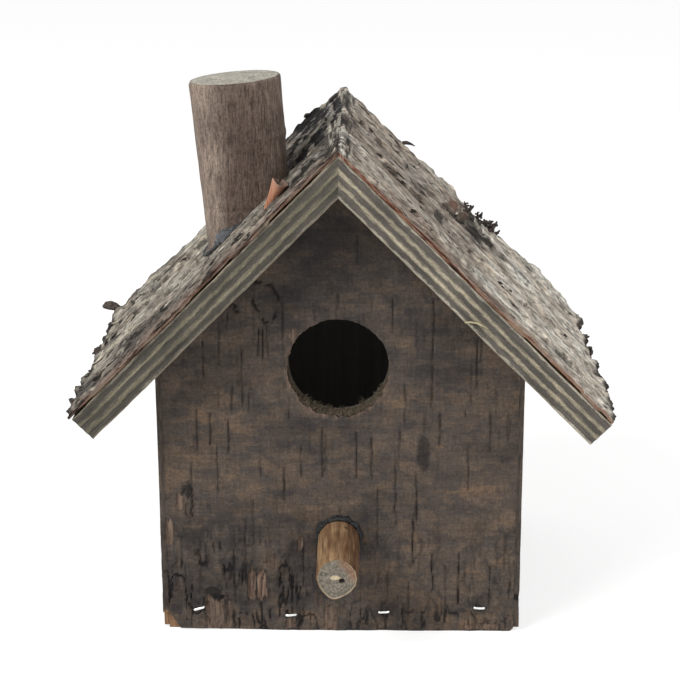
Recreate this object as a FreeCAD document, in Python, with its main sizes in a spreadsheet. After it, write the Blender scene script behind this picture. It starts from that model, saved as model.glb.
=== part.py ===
import FreeCAD, Part
import os
import Sketcher

# Hanging birdhouse: a gabled plywood box under a mitred plywood roof, clad in bark, with a length of branch
# for a chimney and a peg to perch on. Millimetres, +Z up, the entrance faces -Y. The origin is the middle of
# the base, halfway between the front of the front wall and the back of the back wall.

# Driving dimensions: name, millimetres (degrees for the pitch and the lean), what it measures
SIZES = [
    ("box_width", 113.0, "outside of one side wall to outside of the other, without bark"),
    ("box_depth", 96.0, "front of the front wall to back of the back wall, without bark"),
    ("wall_height", 92.0, "base to eaves, at the outside of a side wall"),
    ("wall_ply", 6.0, "thickness of the four walls"),
    ("floor_ply", 12.0, "thickness of the floor"),
    ("roof_ply", 9.0, "thickness of the roof panels"),
    ("roof_pitch", 45.0, "slope of both roof panels"),
    ("left_slope", 116.5, "ridge to eave along the top of the left panel"),
    ("right_slope", 118.5, "ridge to eave along the top of the right panel"),
    ("front_overhang", 16.0, "roof past the face of the front bark"),
    ("wall_bark", 2.0, "thickness of the bark on the walls"),
    ("roof_bark", 1.8, "mean thickness of the bark on the roof"),
    ("bark_relief", 0.9, "ridges of the roof bark over that thickness, and furrows under it"),
    ("plate_height", 1.2, "plates of the roof bark over that thickness"),
    ("bark_crest", 3.6, "back edge of the roof bark over that thickness, at its highest"),
    ("knob_diameter", 4.6, "two knobs on the right roof bark"),
    ("knob_height", 2.8, "those knobs over the bark"),
    ("knob_along", 49.5, "ridge to the first knob, down the slope"),
    ("knob_spacing", 5.2, "one knob to the other, down the slope"),
    ("knob_setback", 78.0, "front edge of the roof to the knobs"),
    ("bark_lift", 0.4, "gap under the wall bark"),
    ("bark_ragged", 3.0, "longest tongue or deepest notch in the roof bark's edges"),
    ("corner_chip", 5.0, "bark missing from the lower left corner of the front"),
    ("entrance_diameter", 32.0, "hole that the birds use"),
    ("entrance_height", 90.6, "base to the middle of the entrance"),
    ("centre_offset", -0.5, "entrance and perch, from the middle of the front"),
    ("perch_height", 32.4, "base to the middle of the perch"),
    ("perch_diameter", 13.6, "perch at the wall"),
    ("perch_tip", 13.0, "perch at its free end"),
    ("perch_length", 30.0, "perch past the face of the front bark"),
    ("log_diameter", 28.2, "chimney at its foot"),
    ("log_top", 29.2, "chimney at its top"),
    ("log_height", 43.6, "chimney along its axis, from the roof bark"),
    ("log_lean", 4.6, "chimney's tilt down the slope"),
    ("log_offset", 30.4, "ridge to the chimney's foot, level"),
    ("log_setback", 50.0, "front edge of the roof to the chimney's axis"),
    ("edge_wear", 0.6, "bevel round the cut ends of the branches"),
    ("glue_bead", 1.8, "height and width of the glue round a foot"),
    ("fit_gap", 0.1, "between a branch and the hole or glue round it"),
    ("hang_diameter", 8.0, "hole in the back wall for a nail or hook"),
    ("hang_drop", 27.0, "top of the gable to the middle of that hole"),
    ("staple_crown", 4.2, "staple, outside of one leg to outside of the other"),
    ("staple_leg", 14.0, "staple, crown to point"),
    ("staple_width", 0.9, "staple wire, across"),
    ("staple_wire", 0.6, "staple wire, thickness"),
    ("staple_margin", 4.75, "end of the floor to the outermost staples in the front and in the back"),
    ("staple_shift", -1.0, "middle of the front row of staples, from the middle of the front"),
    ("staple_proud", 0.3, "crown above the bark"),
    ("side_staple_margin", 14.0, "end of the floor to the outermost staples in a side"),
    ("staple_height_1", 7.9, "front staples from left to right, above the base"),
    ("staple_height_2", 5.7, "second"),
    ("staple_height_3", 6.9, "third"),
    ("staple_height_4", 8.5, "fourth"),
    ("brad_length", 20.0, "brad, top of head to point"),
    ("brad_shank", 1.2, "brad, diameter"),
    ("brad_head", 2.0, "brad head, diameter"),
    ("brad_head_height", 0.8, "brad head, thickness"),
    ("brad_point", 2.0, "brad, length of the point"),
    ("brad_margin", 12.0, "brads to the ends of the edge that they are driven into"),
]

# Formulas over the sheet that several pieces share
HALF_WIDTH = "Sizes.box_width / 2"
WALL_FRONT = "(-Sizes.box_depth / 2)"
WALL_BACK = "(Sizes.box_depth / 2)"
BARK_FRONT = "(-Sizes.box_depth / 2 - Sizes.wall_bark)"
ROOF_FRONT = "(-Sizes.box_depth / 2 - Sizes.wall_bark - Sizes.front_overhang)"
ROOF_DEPTH = "(Sizes.box_depth + Sizes.wall_bark + Sizes.front_overhang)"
RISE = "tan(Sizes.roof_pitch)"
GABLE_TOP = f"(Sizes.wall_height + {HALF_WIDTH} * {RISE})"
ROOF_TOP = f"({GABLE_TOP} + Sizes.roof_ply / cos(Sizes.roof_pitch))"
BARK_TOP = f"({ROOF_TOP} + Sizes.roof_bark / cos(Sizes.roof_pitch))"
BARK_PEAK = "(Sizes.roof_bark + Sizes.bark_crest)"
FLOOR_MIDDLE = "Sizes.floor_ply / 2"
FLOOR_HALF_WIDTH = "(Sizes.box_width / 2 - Sizes.wall_ply)"
FLOOR_HALF_DEPTH = "(Sizes.box_depth / 2 - Sizes.wall_ply)"
LEFT, RIGHT = -1, 1

# Ragged edges of the roof bark: share of the edge's length, share of bark_ragged outwards
LEFT_EAVE = [(0.0, 0.9), (0.12, 0.2), (0.3, 0.8), (0.45, -0.3), (0.6, 0.7), (0.8, 0.2), (1.0, 0.6)]
RIGHT_EAVE = [(0.0, 0.8), (0.15, 0.4), (0.35, 0.9), (0.5, 0.5), (0.7, 1.0), (0.85, 0.6), (1.0, 0.9)]
LEFT_RAKE = [(0.25, -0.1), (0.5, 0.1), (0.75, -0.2)]
RIGHT_RAKE = [(0.2, -0.3), (0.45, -0.1), (0.7, -0.35)]
BACK_RAKE = [(0.75, 0.3), (0.5, -0.1), (0.25, 0.2)]

# Ridges and furrows of the roof bark from front to back: share of the depth, share of bark_relief
RIDGES = [
    (0.0, -0.2), (0.06, 0.6), (0.11, -0.5), (0.2, 0.9), (0.25, 0.2), (0.3, 0.5), (0.38, -1.0),
    (0.46, 1.0), (0.53, -0.4), (0.58, 0.4), (0.66, -0.9), (0.74, 0.8), (0.79, 0.1), (0.87, -0.5),
]
# Back edge of the roof bark from ridge to eave: share of the slope, share of bark_crest
LEFT_CREST = [(0.0, 0.25), (0.07, 0.35), (0.13, 0.45), (0.18, 0.25), (0.94, 0.25), (0.97, 0.75), (1.0, 0.25)]
RIGHT_CREST = [
    (0.0, 0.25), (0.26, 0.25), (0.3, 0.45), (0.37, 0.42), (0.385, 1.0), (0.41, 0.8), (0.46, 0.42),
    (0.52, 0.25), (0.71, 0.25), (0.77, 0.55), (0.82, 0.55), (0.86, 0.9), (0.92, 0.65), (1.0, 0.3),
]

# Plates that stand out of the roof bark: middle down the slope, middle from front to back, length and width,
# as shares of the slope and of the depth
LEFT_PLATES = [
    (0.12, 0.2, 0.14, 0.16), (0.38, 0.13, 0.26, 0.12), (0.11, 0.6, 0.13, 0.2),
    (0.33, 0.74, 0.3, 0.15), (0.62, 0.43, 0.14, 0.16), (0.66, 0.72, 0.26, 0.13),
    (0.86, 0.22, 0.18, 0.15), (0.85, 0.55, 0.2, 0.14), (0.82, 0.88, 0.2, 0.1),
]
RIGHT_PLATES = [
    (0.13, 0.22, 0.18, 0.13), (0.36, 0.12, 0.26, 0.1), (0.27, 0.43, 0.24, 0.15),
    (0.16, 0.7, 0.2, 0.16), (0.38, 0.86, 0.2, 0.12), (0.58, 0.36, 0.26, 0.14),
    (0.8, 0.18, 0.28, 0.13), (0.86, 0.52, 0.22, 0.2), (0.68, 0.78, 0.26, 0.14),
]
# Corners of a plate from its middle: shares of its length and of its width
PLATE_CORNERS = [(-0.5, -0.1), (-0.32, -0.5), (0.3, -0.42), (0.5, 0.06), (0.36, 0.5), (-0.28, 0.4)]

doc = FreeCAD.newDocument("birdhouse")
sheet = doc.addObject("Spreadsheet::Sheet", "Sizes")
nodes = []


def fill_sheet():
    for row, (name, size, meaning) in enumerate(SIZES, start=1):
        sheet.set(f"A{row}", name)
        sheet.set(f"B{row}", str(size))
        sheet.set(f"C{row}", meaning)
        sheet.setAlias(f"B{row}", name)
    doc.recompute()


def value(formula):
    return float(sheet.evalExpression(str(formula)))


def keep(item, label):
    """Marks a document object as a sub-part, under the name that its file gets."""
    item.Label = label
    nodes.append(item)
    return item


def place(item, x, y, z, axis=(1, 0, 0), turn="0"):
    """Binds an object's Placement to formulas: a point, and a turn in degrees about an axis."""
    item.Placement = FreeCAD.Placement(FreeCAD.Vector(), FreeCAD.Rotation(FreeCAD.Vector(axis), value(turn)))
    for letter, formula in zip("xyz", (x, y, z)):
        item.setExpression(f"Placement.Base.{letter}", str(formula))
    item.setExpression("Placement.Rotation.Angle", str(turn))


def new_sketch(body, role, offset="0"):
    """A sketch on one of the body's own planes, moved along that plane's normal."""
    plane = next(item for item in body.Origin.OriginFeatures if item.Role == role)
    sketch = body.newObject("Sketcher::SketchObject", f"{body.Name}_sketch")
    sketch.AttachmentSupport = (plane, [""])
    sketch.MapMode = "FlatFace"
    sketch.setExpression("AttachmentOffset.Base.z", str(offset))
    return sketch


def upright_sketch(body, y="0"):
    """A sketch in X and Z at the given y. Its normal points at the viewer, towards -Y."""
    return new_sketch(body, "XZ_Plane", f"-({y})")


def fix_point(sketch, geometry, point, x, y):
    """Ties a point of the sketch to its two formulas."""
    for kind, formula in (("DistanceX", x), ("DistanceY", y)):
        constraint = Sketcher.Constraint(kind, -1, 1, geometry, point, value(formula))
        number = sketch.addConstraint(constraint)
        sketch.setExpression(f"Constraints[{number}]", str(formula))


def draw_polygon(sketch, corners):
    """A closed outline of straight lines. Each corner is two formulas."""
    spots = [FreeCAD.Vector(value(x), value(y), 0) for x, y in corners]
    first = sketch.GeometryCount
    for start, end in zip(spots, spots[1:] + spots[:1]):
        sketch.addGeometry(Part.LineSegment(start, end))
    for index, (x, y) in enumerate(corners):
        following = first + (index + 1) % len(corners)
        sketch.addConstraint(Sketcher.Constraint("Coincident", first + index, 2, following, 1))
        fix_point(sketch, first + index, 1, x, y)


def draw_circle(sketch, x, y, diameter):
    centre = FreeCAD.Vector(value(x), value(y), 0)
    circle = Part.Circle(centre, FreeCAD.Vector(0, 0, 1), value(diameter) / 2)
    geometry = sketch.addGeometry(circle)
    fix_point(sketch, geometry, 3, x, y)
    number = sketch.addConstraint(Sketcher.Constraint("Diameter", geometry, value(diameter)))
    sketch.setExpression(f"Constraints[{number}]", str(diameter))


def pad(sketch, length, backwards=False, both_ways=False):
    body = sketch.getParentGeoFeatureGroup()
    feature = body.newObject("PartDesign::Pad", f"{body.Name}_pad")
    feature.Profile = sketch
    feature.Reversed = backwards
    feature.Midplane = both_ways
    feature.setExpression("Length", str(length))


def cut_through(sketch):
    """Cuts the outline right through the body, on both sides of the sketch."""
    body = sketch.getParentGeoFeatureGroup()
    doc.recompute()
    before = body.Shape.Volume
    feature = body.newObject("PartDesign::Pocket", f"{body.Name}_cut")
    feature.Profile = sketch
    feature.Type = "ThroughAll"
    feature.Midplane = True
    doc.recompute()
    if body.Shape.Volume >= before:
        raise RuntimeError(f"{body.Name}: a cut removed nothing")


def revolve(sketch):
    """Turns the outline once round the sketch's own vertical axis."""
    body = sketch.getParentGeoFeatureGroup()
    feature = body.newObject("PartDesign::Revolution", f"{body.Name}_turned")
    feature.Profile = sketch
    feature.ReferenceAxis = (sketch, ["V_Axis"])
    feature.Angle = 360


def new_body(name):
    return doc.addObject("PartDesign::Body", name)


def pierced(label, body, fasteners):
    """The piece with the holes that its fasteners made in it."""
    tools = doc.addObject("Part::Compound", f"{label}_holes")
    tools.Links = fasteners
    piece = doc.addObject("Part::Cut", f"{label}_pierced")
    piece.Base = body
    piece.Tool = tools
    return keep(piece, label)


def brad_body():
    """A brad that points down, the top of its head at the origin."""
    body = new_body("brad")
    sketch = upright_sketch(body)
    head, shank = "Sizes.brad_head / 2", "Sizes.brad_shank / 2"
    neck, point = "-Sizes.brad_head_height", "-(Sizes.brad_length - Sizes.brad_point)"
    draw_polygon(sketch, [
        (0, 0), (head, 0), (head, neck), (shank, neck), (shank, point), (0, "-Sizes.brad_length"),
    ])
    revolve(sketch)
    return body


def staple_body():
    """A staple with its legs down, the underside of its crown at the origin and its crown along X."""
    body = new_body("staple")
    sketch = upright_sketch(body)
    outside = "Sizes.staple_crown / 2"
    inside = "(Sizes.staple_crown / 2 - Sizes.staple_wire)"
    draw_polygon(sketch, [
        (f"-{outside}", "Sizes.staple_wire"), (f"-{outside}", "-Sizes.staple_leg"),
        (f"-{inside}", "-Sizes.staple_leg"), (f"-{inside}", 0),
        (inside, 0), (inside, "-Sizes.staple_leg"),
        (outside, "-Sizes.staple_leg"), (outside, "Sizes.staple_wire"),
    ])
    pad(sketch, "Sizes.staple_width", both_ways=True)
    return body


def fastener_group(label, master, spots, axis, turn):
    """Copies of one fastener, all turned the same way. Each spot is x, y and z formulas."""
    copies = []
    for number, (x, y, z) in enumerate(spots, start=1):
        copy = doc.addObject("App::Link", f"{label}_{number}")
        copy.LinkedObject = master
        place(copy, x, y, z, axis, turn)
        copies.append(copy)
    group = doc.addObject("Part::Compound", f"{label}_group")
    group.Links = copies
    return keep(group, label)


def floor_staples(staple):
    """Staples through each wall into the edge of the floor: the front row is uneven, as it was driven."""
    sunk = "(Sizes.staple_wire - Sizes.staple_proud)"
    outermost = f"({FLOOR_HALF_WIDTH} - Sizes.staple_margin)"
    front_y = f"{BARK_FRONT} + {sunk}"
    front_spots = []
    back_spots = []
    for number, share in enumerate(("-1", "-1 / 3", "1 / 3", "1"), start=1):
        x = f"{share} * {outermost}"
        front_spots.append((f"{x} + Sizes.staple_shift", front_y, f"Sizes.staple_height_{number}"))
        back_spots.append((x, f"{WALL_BACK} - Sizes.staple_wire", FLOOR_MIDDLE))
    rows = [f"{step} * ({FLOOR_HALF_DEPTH} - Sizes.side_staple_margin)" for step in (-1, 0, 1)]
    inset = f"({HALF_WIDTH} + Sizes.wall_bark - {sunk})"
    left_spots = [(f"-{inset}", y, FLOOR_MIDDLE) for y in rows]
    right_spots = [(inset, y, FLOOR_MIDDLE) for y in rows]
    return {
        "front": fastener_group("front_staples", staple, front_spots, (1, 0, 0), "90"),
        "back": fastener_group("back_staples", staple, back_spots, (1, 0, 0), "-90"),
        "left": fastener_group("left_staples", staple, left_spots, (-1, -1, 1), "120"),
        "right": fastener_group("right_staples", staple, right_spots, (1, 1, 1), "120"),
    }


def wall_brads(brad):
    """Brads through the front and back walls into the middle of the side walls' ends."""
    x = f"({HALF_WIDTH} - Sizes.wall_ply / 2)"
    low = "(Sizes.floor_ply + Sizes.brad_margin)"
    high = "(Sizes.wall_height - Sizes.brad_margin)"
    heights = [low, f"({low} + {high}) / 2", high]
    groups = {}
    for name, y, turn in (("front", WALL_FRONT, "90"), ("back", WALL_BACK, "-90")):
        spots = [(f"{side} * {x}", y, z) for side in (LEFT, RIGHT) for z in heights]
        groups[name] = fastener_group(f"{name}_brads", brad, spots, (1, 0, 0), turn)
    return groups


def on_slope(side, along, y):
    """The point of a roof panel's top that lies the given way down the slope from the ridge."""
    x = f"{side} * ({along}) * cos(Sizes.roof_pitch)"
    z = f"{ROOF_TOP} - ({along}) * sin(Sizes.roof_pitch)"
    return x, y, z


def roof_brads(brad):
    """Brads square through the roof panels: into both gables, and across the mitre at the ridge."""
    gable_start = f"Sizes.roof_ply * {RISE}"
    gable_end = f"({gable_start} + {HALF_WIDTH} / cos(Sizes.roof_pitch))"
    steps = [f"{gable_start} + Sizes.brad_margin", f"{gable_end} - Sizes.brad_margin"]
    gables = [f"{WALL_FRONT} + Sizes.wall_ply / 2", f"{WALL_BACK} - Sizes.wall_ply / 2"]
    groups = {}
    for name, side in (("left", LEFT), ("right", RIGHT)):
        spots = [on_slope(side, along, y) for y in gables for along in steps]
        groups[name] = fastener_group(
            f"{name}_roof_brads", brad, spots, (0, 1, 0), f"{side} * Sizes.roof_pitch"
        )
    front, back = f"({ROOF_FRONT} + Sizes.brad_margin)", f"({WALL_BACK} - Sizes.brad_margin)"
    spots = [on_slope(RIGHT, "Sizes.roof_ply / 2", y) for y in (front, f"({front} + {back}) / 2", back)]
    groups["ridge"] = fastener_group("ridge_brads", brad, spots, (0, 1, 0), "Sizes.roof_pitch")
    return groups


def gable_outline(base, chip=None):
    """The front's outline: upright sides and two slopes. A chip takes off the lower left corner."""
    corners = [
        (f"-{HALF_WIDTH}", base), (HALF_WIDTH, base), (HALF_WIDTH, "Sizes.wall_height"),
        (0, GABLE_TOP), (f"-{HALF_WIDTH}", "Sizes.wall_height"),
    ]
    if chip:
        corners[:1] = [(f"-{HALF_WIDTH}", f"{base} + {chip}"), (f"-{HALF_WIDTH} + {chip}", base)]
    return corners


def gable_sheet(name, front, thickness, base="0", chip=None):
    body = new_body(name)
    sketch = upright_sketch(body, front)
    draw_polygon(sketch, gable_outline(base, chip))
    pad(sketch, thickness, backwards=True)
    return body


def drill(body, front, x, z, diameter):
    sketch = upright_sketch(body, front)
    draw_circle(sketch, x, z, diameter)
    cut_through(sketch)


def drill_front(body, front):
    """The entrance, and the hole that the perch is glued into."""
    socket = "Sizes.perch_diameter + 2 * Sizes.fit_gap"
    drill(body, front, "Sizes.centre_offset", "Sizes.entrance_height", "Sizes.entrance_diameter")
    drill(body, front, "Sizes.centre_offset", "Sizes.perch_height", socket)


def front_wall(staples, brads, roof):
    body = gable_sheet("front_panel", WALL_FRONT, "Sizes.wall_ply")
    drill_front(body, WALL_FRONT)
    pierced("front_wall", body, [staples["front"], brads["front"], roof["left"], roof["right"]])


def back_wall(staples, brads, roof):
    inside = f"({WALL_BACK} - Sizes.wall_ply)"
    body = gable_sheet("back_panel", inside, "Sizes.wall_ply")
    drill(body, inside, 0, f"{GABLE_TOP} - Sizes.hang_drop", "Sizes.hang_diameter")
    pierced("back_wall", body, [staples["back"], brads["back"], roof["left"], roof["right"]])


def front_bark(staples):
    body = gable_sheet("front_skin", BARK_FRONT, "Sizes.wall_bark", "Sizes.bark_lift", "Sizes.corner_chip")
    drill_front(body, BARK_FRONT)
    pierced("front_bark", body, [staples["front"]])


def side_sheet(name, side, inner, thickness, base, front, depth):
    """An upright sheet along one side, its top bevelled to lie under the roof."""
    body = new_body(name)
    sketch = upright_sketch(body, front)
    outer = f"({inner} + {thickness})"
    draw_polygon(sketch, [
        (f"{side} * {inner}", base), (f"{side} * {outer}", base),
        (f"{side} * {outer}", f"{GABLE_TOP} - {outer} * {RISE}"),
        (f"{side} * {inner}", f"{GABLE_TOP} - {inner} * {RISE}"),
    ])
    pad(sketch, depth, backwards=True)
    return body


def side_pieces(name, side, staples, brads):
    """A side wall between the front and back walls, and its bark, which also covers their edges."""
    between = f"-{FLOOR_HALF_DEPTH}"
    wall = side_sheet(
        f"{name}_panel", side, FLOOR_HALF_WIDTH, "Sizes.wall_ply", "0", between, f"2 * {FLOOR_HALF_DEPTH}"
    )
    pierced(f"{name}_wall", wall, [staples[name], brads["front"], brads["back"]])
    bark_depth = "Sizes.box_depth + Sizes.wall_bark"
    bark = side_sheet(
        f"{name}_skin", side, f"({HALF_WIDTH})", "Sizes.wall_bark", "Sizes.bark_lift", BARK_FRONT, bark_depth
    )
    pierced(f"{name}_bark", bark, [staples[name]])


def floor_board(staples):
    body = new_body("floor_board")
    sketch = new_sketch(body, "XY_Plane")
    x, y = FLOOR_HALF_WIDTH, FLOOR_HALF_DEPTH
    draw_polygon(sketch, [(f"-{x}", f"-{y}"), (x, f"-{y}"), (x, y), (f"-{x}", y)])
    pad(sketch, "Sizes.floor_ply")
    pierced("floor", body, list(staples.values()))


def roof_panel(name, side, slope, roof):
    """A panel in the slope's own frame: X from the ridge, Z out of the roof. The ridge end is mitred."""
    body = new_body(f"{name}_slab")
    sketch = upright_sketch(body, ROOF_FRONT)
    draw_polygon(sketch, [
        (0, 0), (f"{side} * {slope}", 0), (f"{side} * {slope}", "-Sizes.roof_ply"),
        (f"{side} * Sizes.roof_ply * {RISE}", "-Sizes.roof_ply"),
    ])
    pad(sketch, ROOF_DEPTH, backwards=True)
    place(body, 0, 0, ROOF_TOP, (0, 1, 0), f"{side} * Sizes.roof_pitch")
    pierced(f"{name}_roof_panel", body, [roof[name], roof["ridge"]])


def bark_outline(side, slope, eave, rake):
    """The roof bark's plan: ragged rakes and eave, and a straight end that reaches over the ridge."""
    ragged = "Sizes.bark_ragged"
    ridge = f"-{side} * {BARK_PEAK} * {RISE}"
    outline = [(ridge, ROOF_FRONT)]
    for along, out in rake:
        outline.append((f"{side} * {along} * {slope}", f"{ROOF_FRONT} - {out} * {ragged}"))
    for along, out in eave:
        outline.append((f"{side} * ({slope} + {out} * {ragged})", f"{ROOF_FRONT} + {along} * {ROOF_DEPTH}"))
    for along, out in BACK_RAKE:
        outline.append((f"{side} * {along} * {slope}", f"{WALL_BACK} + {out} * {ragged}"))
    outline.append((ridge, WALL_BACK))
    return outline


def above(line):
    """The outline of all that lies over a line of points on the bark."""
    high = f"2 * {BARK_PEAK}"
    return line + [(line[-1][0], high), (line[0][0], high)]


def cut_furrows(body):
    """Leaves ridges that run down the slope, and a back edge that rises to the crest."""
    front = f"({ROOF_FRONT} - Sizes.bark_ragged)"
    depth = f"({ROOF_DEPTH} + 2 * Sizes.bark_ragged)"
    line = []
    for share, rise in RIDGES:
        line.append((f"{front} + {share} * {depth}", f"Sizes.roof_bark + {rise} * Sizes.bark_relief"))
    line.append((f"{front} + {depth}", BARK_PEAK))
    sketch = new_sketch(body, "YZ_Plane")
    draw_polygon(sketch, above(line))
    cut_through(sketch)


def cut_crest(body, side, slope, crest):
    """Gives the back edge its uneven skyline."""
    reach = f"({slope} + Sizes.bark_ragged)"
    line = [(f"-{side} * {BARK_PEAK} * {RISE}", f"Sizes.roof_bark + {crest[0][1]} * Sizes.bark_crest")]
    for share, rise in crest:
        line.append((f"{side} * {share} * {reach}", f"Sizes.roof_bark + {rise} * Sizes.bark_crest"))
    sketch = upright_sketch(body)
    draw_polygon(sketch, above(line))
    cut_through(sketch)


def add_plates(body, side, slope, plates):
    """Flat plates, broken out of the weathered surface between the ridges."""
    sketch = new_sketch(body, "XY_Plane")
    for along, back, length, width in plates:
        corners = []
        for down, across in PLATE_CORNERS:
            x = f"{side} * {slope} * ({along} + {down} * {length})"
            y = f"{ROOF_FRONT} + {ROOF_DEPTH} * ({back} + {across} * {width})"
            corners.append((x, y))
        draw_polygon(sketch, corners)
    pad(sketch, "Sizes.roof_bark + Sizes.plate_height")


def cut_mitre(body, side):
    """Bevels the end that meets the other sheet at the ridge."""
    ridge = f"-{side} * {BARK_PEAK} * {RISE}"
    sketch = upright_sketch(body)
    draw_polygon(sketch, [(0, 0), (ridge, 0), (ridge, BARK_PEAK)])
    cut_through(sketch)


def roof_bark(name, side, slope, eave, rake, crest, plates):
    """A weathered bark sheet in the slope's own frame, laid on a roof panel."""
    body = new_body(f"{name}_roof_sheet")
    sketch = new_sketch(body, "XY_Plane")
    draw_polygon(sketch, bark_outline(side, slope, eave, rake))
    pad(sketch, BARK_PEAK)
    cut_furrows(body)
    cut_crest(body, side, slope, crest)
    add_plates(body, side, slope, plates)
    cut_mitre(body, side)
    place(body, 0, 0, ROOF_TOP, (0, 1, 0), f"{side} * Sizes.roof_pitch")
    return body


def add_knobs(body):
    """Two stubs of twigs that stick out of the right bark."""
    radius = "Sizes.knob_diameter / 2"
    foot, top = "Sizes.roof_bark / 2", "(Sizes.roof_bark + Sizes.knob_height)"
    for number in (0, 1):
        sketch = upright_sketch(body, f"{ROOF_FRONT} + Sizes.knob_setback")
        sketch.setExpression("AttachmentOffset.Base.x", f"Sizes.knob_along + {number} * Sizes.knob_spacing")
        draw_polygon(sketch, [
            (0, foot), (radius, foot), (radius, f"{top} - {radius}"), (f"{radius} / 2", top), (0, top),
        ])
        revolve(sketch)


def left_roof_bark():
    """The left sheet, pared flat where the chimney and its glue stand on it."""
    body = roof_bark("left", LEFT, "Sizes.left_slope", LEFT_EAVE, LEFT_RAKE, LEFT_CREST, LEFT_PLATES)
    seat = new_body("chimney_seat")
    sketch = new_sketch(seat, "XY_Plane")
    draw_circle(sketch, 0, 0, "Sizes.log_diameter + 4 * Sizes.fit_gap + 2 * Sizes.glue_bead")
    pad(sketch, "4 * Sizes.log_diameter", both_ways=True)
    cut_to_slope(seat, "Sizes.log_diameter")
    stand_on_roof(seat)
    pierced("left_roof_bark", body, [seat])


def right_roof_bark():
    body = roof_bark("right", RIGHT, "Sizes.right_slope", RIGHT_EAVE, RIGHT_RAKE, RIGHT_CREST, RIGHT_PLATES)
    add_knobs(body)
    keep(body, "right_roof_bark")


def cut_to_slope(body, reach, top=None):
    """Takes off what lies under the roof bark and, for a bead of glue, what lies above its own height."""
    slope = "tan(Sizes.roof_pitch - Sizes.log_lean)"
    sketch = upright_sketch(body)
    near, far = f"-{reach}", reach
    draw_polygon(sketch, [
        (near, f"{near} * {slope}"), (near, f"-2 * {reach}"),
        (far, f"-2 * {reach}"), (far, f"{far} * {slope}"),
    ])
    cut_through(sketch)
    if top:
        sketch = upright_sketch(body)
        draw_polygon(sketch, [
            (near, f"{near} * {slope} + {top}"), (far, f"{far} * {slope} + {top}"),
            (far, f"2 * {reach}"), (near, f"2 * {reach}"),
        ])
        cut_through(sketch)


def stand_on_roof(body):
    """Puts a body whose origin is the middle of the chimney's foot in its place, leaning down the slope."""
    foot = f"{BARK_TOP} - Sizes.log_offset * {RISE}"
    place(body, "-Sizes.log_offset", f"{ROOF_FRONT} + Sizes.log_setback", foot, (0, 1, 0), "-Sizes.log_lean")


def chimney():
    """A branch that is straight in its glue and widens above it."""
    body = new_body("chimney_log")
    sketch = upright_sketch(body)
    radius, top_radius = "Sizes.log_diameter / 2", "Sizes.log_top / 2"
    top, below = "Sizes.log_height", "-Sizes.log_diameter"
    draw_polygon(sketch, [
        (0, below), (radius, below), (radius, radius), (top_radius, f"{top} - Sizes.edge_wear"),
        (f"{top_radius} - Sizes.edge_wear", top), (0, top),
    ])
    revolve(sketch)
    cut_to_slope(body, "Sizes.log_diameter")
    stand_on_roof(body)
    keep(body, "chimney")


def chimney_glue():
    body = new_body("chimney_bead")
    sketch = new_sketch(body, "XY_Plane")
    inner = "Sizes.log_diameter + 2 * Sizes.fit_gap"
    draw_circle(sketch, 0, 0, inner)
    draw_circle(sketch, 0, 0, f"{inner} + 2 * Sizes.glue_bead")
    pad(sketch, "4 * Sizes.log_diameter", both_ways=True)
    bead_top = "Sizes.glue_bead / cos(Sizes.roof_pitch - Sizes.log_lean)"
    cut_to_slope(body, "Sizes.log_diameter", bead_top)
    stand_on_roof(body)
    keep(body, "chimney_glue")


def perch():
    """A tapered peg from the inside of the front wall out past the bark, along -Y."""
    body = new_body("perch_peg")
    sketch = new_sketch(body, "XY_Plane")
    radius, tip = "Sizes.perch_diameter / 2", "Sizes.perch_tip / 2"
    inside, end = "Sizes.wall_bark + Sizes.wall_ply", "-Sizes.perch_length"
    draw_polygon(sketch, [
        (0, inside), (0, end), (f"{tip} - Sizes.edge_wear", end), (tip, f"{end} + Sizes.edge_wear"),
        (radius, 0), (radius, inside),
    ])
    revolve(sketch)
    place(body, "Sizes.centre_offset", BARK_FRONT, "Sizes.perch_height")
    keep(body, "perch")


def perch_glue():
    """A sloping bead in the corner between the perch and the bark."""
    body = new_body("perch_bead")
    sketch = new_sketch(body, "XY_Plane")
    inner = "Sizes.perch_diameter / 2 + Sizes.fit_gap"
    draw_polygon(sketch, [(inner, 0), (inner, "-Sizes.glue_bead"), (f"{inner} + Sizes.glue_bead", 0)])
    revolve(sketch)
    place(body, "Sizes.centre_offset", BARK_FRONT, "Sizes.perch_height")
    keep(body, "perch_glue")


def build():
    fill_sheet()
    brad, staple = brad_body(), staple_body()
    staples, brads, roof = floor_staples(staple), wall_brads(brad), roof_brads(brad)
    front_wall(staples, brads, roof)
    back_wall(staples, brads, roof)
    side_pieces("left", LEFT, staples, brads)
    side_pieces("right", RIGHT, staples, brads)
    floor_board(staples)
    roof_panel("left", LEFT, "Sizes.left_slope", roof)
    roof_panel("right", RIGHT, "Sizes.right_slope", roof)
    front_bark(staples)
    left_roof_bark()
    right_roof_bark()
    chimney()
    chimney_glue()
    perch()
    perch_glue()
    doc.recompute()


def write_parts():
    for item in doc.Objects:
        if {"Invalid", "Error"} & set(item.State):
            raise RuntimeError(f"{item.Name} failed: {item.State}")
    for item in nodes:
        if item.Shape.isNull() or not item.Shape.isValid() or not item.Shape.Solids:
            raise RuntimeError(f"{item.Label} has no valid solid")
    os.makedirs("parts", exist_ok=True)
    for item in nodes:
        item.Shape.exportStep(f"parts/{item.Label}.step")
        print(item.Label, len(item.Shape.Solids), "solids", round(item.Shape.Volume, 1), "mm3")


build()
write_parts()
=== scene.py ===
"""Looks of the hanging birdhouse: bark, plywood, branches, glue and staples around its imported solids."""
import math

import bpy
import numpy as np
from mathutils import Matrix, Vector
from mathutils.bvhtree import BVHTree


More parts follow.
